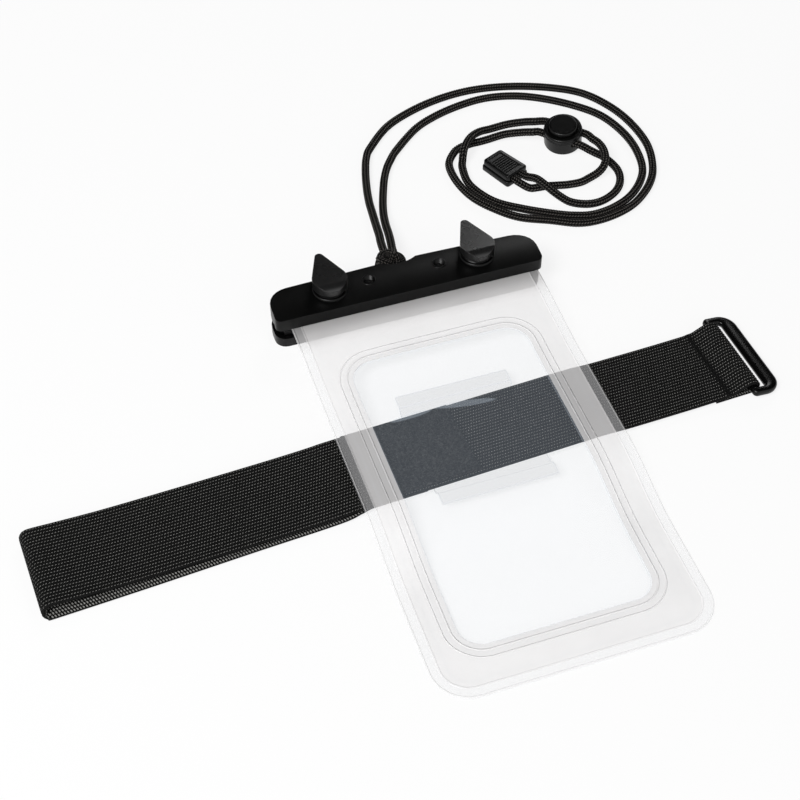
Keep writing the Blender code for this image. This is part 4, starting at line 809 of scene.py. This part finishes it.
# %% Distance to a rounded rectangle
frame_distance, distance_in, distance_out = new_group(
    "frame_distance",
    [("Centre", VECTOR, None), ("Half Width", FLOAT, 0.03), ("Half Length", FLOAT, 0.06), ("Corner", FLOAT, 0.008)],
    [("Distance", FLOAT)])
offset = add(frame_distance, 'ShaderNodeVectorMath', {0: object_place(frame_distance), 1: distance_in["Centre"]},
             operation='SUBTRACT')
reach = add(frame_distance, 'ShaderNodeVectorMath', {0: offset.outputs[0]}, operation='ABSOLUTE')
parts = add(frame_distance, 'ShaderNodeSeparateXYZ', {0: reach.outputs[0]}).outputs
side_x, side_y = (calc(frame_distance, 'ADD', distance_in["Corner"],
                       calc(frame_distance, 'SUBTRACT', parts[axis], distance_in[half]))
                  for axis, half in (("X", "Half Width"), ("Y", "Half Length")))
over = add(frame_distance, 'ShaderNodeCombineXYZ', {"X": calc(frame_distance, 'MAXIMUM', side_x, 0.0),
                                                    "Y": calc(frame_distance, 'MAXIMUM', side_y, 0.0)})
round_part = add(frame_distance, 'ShaderNodeVectorMath', {0: over.outputs[0]}, operation='LENGTH').outputs["Value"]
flat_part = calc(frame_distance, 'MINIMUM', calc(frame_distance, 'MAXIMUM', side_x, side_y), 0.0)
outside = calc(frame_distance, 'SUBTRACT', calc(frame_distance, 'ADD', round_part, flat_part),
               distance_in["Corner"])
frame_distance.links.new(outside, distance_out["Distance"])


# %% Lines and bands at a distance
def raised_line(tree, distance, middle, half_width):
    """1 on a line at one distance, fading to 0 at half_width from it."""
    away = calc(tree, 'ABSOLUTE', calc(tree, 'SUBTRACT', distance, middle * MM))
    return map_range(tree, away, 0.0, 1.0, half_width * MM, 0.0, 'SMOOTHSTEP')


def band(tree, value, start, end, low=0.0, high=1.0):
    """A smooth step from low to high while the value goes from start to end, in millimetres."""
    return map_range(tree, value, low, high, start * MM, end * MM, 'SMOOTHSTEP')


def sum_of(tree, values):
    total = values[0]
    for value in values[1:]:
        total = calc(tree, 'ADD', total, value)
    return total


def facing_up(tree):
    """1 on the side of a film that faces the viewer, so that a film with two sides veils only once."""
    return calc(tree, 'SUBTRACT', 1.0, add(tree, 'ShaderNodeNewGeometry').outputs["Backfacing"])


# %% [markdown]
# The frosted front. Near the clamp both sheets are squeezed flat together, so the film is denser there. Its colour
# is also darkened towards the clamp with painted shade, which stands for the clamp's shadow and dark reflection. Two
# fine raised lines run round the window, and the welded edge of the pouch is a clearer band with a line inside it.
# These lines are painted a little lighter, as a painted highlight. The pouch's rectangle runs on behind the clamp, so
# that its weld meets the clamp in straight lines.

# %% Frosted film
WINDOW_FRAME = {"Centre": (0.8 * MM, -101.0 * MM, 0), "Half Width": 36.15 * MM, "Half Length": 65.6 * MM,
                "Corner": 9 * MM}
POUCH_FRAME = {"Centre": (2.0 * MM, -64.95 * MM, 0), "Half Width": 52.0 * MM, "Half Length": 119.85 * MM,
               "Corner": 14 * MM}
WINDOW_LINES = ((2.2, 0.45), (5.0, 0.35))
EDGE_LINE = (-0.4, 0.5)
WELD_LINE = (-3.9, 0.5)
WELD_BAND = (-4.3, -3.4)
CLAMP_PAINTED_SHADE = (-25.0, -7.5)
CLAMP_SQUEEZE = (-26.0, -14.0)
FROST_COLOR = (0.86, 0.845, 0.845)
frosted_film, frost_tree, frost_shader = new_material("frosted_film", Specular_IOR_Level=0.35)
frost_y = add(frost_tree, 'ShaderNodeSeparateXYZ', {0: object_place(frost_tree)}).outputs["Y"]
frost_window = use_group(frost_tree, frame_distance, WINDOW_FRAME)["Distance"]
frost_edge = use_group(frost_tree, frame_distance, POUCH_FRAME)["Distance"]
frost_weld_line = calc(frost_tree, 'MULTIPLY', raised_line(frost_tree, frost_edge, *WELD_LINE), 0.5)
frost_lines = sum_of(frost_tree, [raised_line(frost_tree, frost_window, *line) for line in WINDOW_LINES]
                     + [frost_weld_line, raised_line(frost_tree, frost_edge, *EDGE_LINE)])
frost_noise = noise_of(frost_tree, 55.0, 3.0)
frost_cloud = map_range(frost_tree, frost_noise, 0.97, 1.03, 0.3, 0.7)
# Painted shade: the film's colour darkens towards the clamp, for the clamp's shadow and dark reflection.
frost_painted_shade = band(frost_tree, frost_y, *CLAMP_PAINTED_SHADE, 1.0, 0.40)
frost_cloud_and_painted_shade = calc(frost_tree, 'MULTIPLY', frost_painted_shade, frost_cloud)
# Painted highlight: the raised lines are made a little lighter in colour, on top of the painted shade and the cloudy
# tone.
frost_cloud_and_painted_light = calc(frost_tree, 'MULTIPLY_ADD', frost_lines, 0.12, frost_cloud_and_painted_shade)
frost_weld = band(frost_tree, frost_edge, *WELD_BAND, 0.0, -0.34)
frost_dense = band(frost_tree, frost_y, *CLAMP_SQUEEZE, 0.52, 0.96)
frost_total = sum_of(frost_tree, [frost_dense, frost_weld, calc(frost_tree, 'MULTIPLY', frost_lines, 0.20)])
wire(frost_tree, frost_shader, {
    "Base Color": scaled(frost_tree, FROST_COLOR, frost_cloud_and_painted_light),
    "Alpha": calc(frost_tree, 'MULTIPLY', frost_total, facing_up(frost_tree)),
    "Roughness": calc(frost_tree, 'MULTIPLY_ADD', frost_noise, 0.1, 0.42),
    "Normal": bump(frost_tree, frost_lines, 0.35 * MM)})
print("frost nodes", len(frost_tree.nodes))

# %% [markdown]
# Clear film. It is told apart from air by a weak blue veil, by soft ripples that catch the light, and by the
# lines of its welds: beside the window's edge, and round the belt loop on the back. At two places over the
# armband's upper edge, where the window is folded up a little, a slim oval of painted highlight is added to its veil.


# %% Clear film
def clear_material(name, veil, lines_of, ripple_depth):
    material, tree, shader = new_material(name, Base_Color=(0.70, 0.79, 0.90, 1), Specular_IOR_Level=0.6)
    ripple = noise_of(tree, 38.0, 2.0, Distortion=0.6)
    veiled = calc(tree, 'MULTIPLY_ADD', lines_of(tree), 0.16, veil)
    wire(tree, shader, {"Roughness": calc(tree, 'MULTIPLY_ADD', ripple, 0.08, 0.06),
                        "Alpha": calc(tree, 'MULTIPLY', veiled, facing_up(tree)),
                        "Normal": bump(tree, ripple, ripple_depth)})
    return material


def painted_fold_highlight(tree, middle, half_length, half_width, lean):
    """A slim oval of painted highlight where the film is folded up a little, in millimetres and degrees."""
    turned = add(tree, 'ShaderNodeMapping', {"Vector": object_place(tree), "Location": Vector((*middle, 0)) * MM,
                                             "Rotation": (0, 0, math.radians(lean)),
                                             "Scale": (half_length * MM, half_width * MM, 1)}, vector_type='TEXTURE')
    flat = add(tree, 'ShaderNodeVectorMath', {0: turned.outputs[0], 1: (1, 1, 0)}, operation='MULTIPLY')
    size = add(tree, 'ShaderNodeVectorMath', {0: flat.outputs[0]}, operation='LENGTH').outputs["Value"]
    return map_range(tree, size, 0.0, 1.0, 1.0, 0.85)


# Painted highlights: two slim ovals added to the window's veil where the film is folded.
PAINTED_FOLD_HIGHLIGHTS = (((-20.0, -66.2), 8.6, 1.3, 1), ((1.5, -67.0), 12.5, 1.6, -8))
LOOP_FRAME = {"Centre": (0.5 * MM, -80.65 * MM, 0), "Half Width": 22.8 * MM, "Half Length": 27.15 * MM,
              "Corner": 1 * MM}
LOOP_OPENING = {**LOOP_FRAME, "Half Length": 21.65 * MM, "Corner": 0.5 * MM}


def window_lines_and_fold_highlights(tree):
    distance = use_group(tree, frame_distance, WINDOW_FRAME)["Distance"]
    return sum_of(tree, [raised_line(tree, distance, -0.3, 0.5), raised_line(tree, distance, 0.5, 0.3)]
                  + [painted_fold_highlight(tree, *fold) for fold in PAINTED_FOLD_HIGHLIGHTS])


def belt_loop_lines(tree):
    outer_edge = use_group(tree, frame_distance, LOOP_FRAME)["Distance"]
    inner_edge = use_group(tree, frame_distance, LOOP_OPENING)["Distance"]
    return sum_of(tree, [raised_line(tree, outer_edge, -0.3, 0.45), raised_line(tree, inner_edge, 0.0, 0.4)])


def back_lines(tree):
    return raised_line(tree, use_group(tree, frame_distance, POUCH_FRAME)["Distance"], -6.8, 0.5)


window_clear = clear_material("window_clear", 0.050, window_lines_and_fold_highlights, 0.6 * MM)
belt_loop_clear = clear_material("belt_loop_clear", 0.022, belt_loop_lines, 0.2 * MM)
back_clear = clear_material("back_clear", 0.040, back_lines, 0.3 * MM)
smooth_copy("back_sheet", "pouch_back", "pouch", back_clear)
smooth_copy("front_sheet", "pouch_front", "pouch", frosted_film)
smooth_copy("window_film", "pouch_window", "pouch", window_clear)
smooth_copy("belt_loop_patch", "belt_loop_film", "pouch", belt_loop_clear)
print("clear films:", window_clear.name, belt_loop_clear.name, back_clear.name)

# %% [markdown]
# The studio. A white table and soft light: the world gives an even glow that is darker in the direction that
# the flat tops mirror to the camera, so that black tops look black. One broad lamp from the left front gives the
# shapes their shading, and a weak one from behind lights their far edges.

# %% Table
TABLE_HALF_SIZE = 3.0
TABLE_GLOW = 0.82
table_white, table_tree, table_shader = new_material("table_white", Base_Color=grey(0.9), Roughness=0.9,
                                                     Specular_IOR_Level=0.0)
path = add(table_tree, 'ShaderNodeLightPath').outputs
seen = calc(table_tree, 'MAXIMUM', path["Is Camera Ray"],
            calc(table_tree, 'MAXIMUM', path["Is Glossy Ray"], path["Is Transmission Ray"]))
glow = add(table_tree, 'ShaderNodeEmission', {"Color": grey(1.0), "Strength": 1.0})
share = calc(table_tree, 'MULTIPLY', seen, TABLE_GLOW)
blend_node = add(table_tree, 'ShaderNodeMixShader', {0: share, 1: table_shader.outputs[0], 2: glow.outputs[0]})
table_tree.links.new(blend_node.outputs[0], table_tree.nodes["Material Output"].inputs["Surface"])
table_mesh = bmesh.new()
bmesh.ops.create_grid(table_mesh, x_segments=1, y_segments=1, size=TABLE_HALF_SIZE,
                      matrix=Matrix.Translation((0, 0, -0.1 * MM)))
new_object("table", table_mesh, table_white)
print("table side", 2 * TABLE_HALF_SIZE)

# %% World and lamps
MIRRORED_VIEW = Vector((0.2142, 0.6290, 0.7473))
DARK_SPOT = (0.05, 0.62)
world = bpy.data.worlds.new("studio")
bpy.context.scene.world = world
world.use_nodes = True
sky = world.node_tree
direction = add(sky, 'ShaderNodeTexCoord').outputs["Generated"]
toward = add(sky, 'ShaderNodeVectorMath', {0: direction, 1: MIRRORED_VIEW}, operation='DOT_PRODUCT').outputs["Value"]
dark_spot = map_range(sky, toward, 1.0, 0.01, *DARK_SPOT, 'SMOOTHSTEP')
sky_path = add(sky, 'ShaderNodeLightPath').outputs
sky_strength = add(sky, 'ShaderNodeMix', {0: sky_path["Is Camera Ray"], 2: dark_spot, 3: 1.0}).outputs[0]
background = sky.nodes["Background"]
background.inputs["Color"].default_value = grey(1.0)
sky.links.new(sky_strength, background.inputs["Strength"])


def soft_lamp(name, location, target, size, power):
    light = bpy.data.lights.new(name, 'AREA')
    light.shape = 'DISK'
    light.size = size
    light.energy = power
    lamp = bpy.data.objects.new(name, light)
    lamp.location = location
    lamp.rotation_euler = (Vector(location) - Vector(target)).to_track_quat('Z', 'Y').to_euler()
    bpy.context.scene.collection.objects.link(lamp)


soft_lamp("key_lamp", (-0.9, -0.6, 1.3), (0, 0, 0), 0.8, 22.0)
soft_lamp("rim_lamp", (0.7, 1.0, 0.8), (0.05, 0.05, 0), 0.5, 3.0)
print("lamps", len(bpy.data.lights))
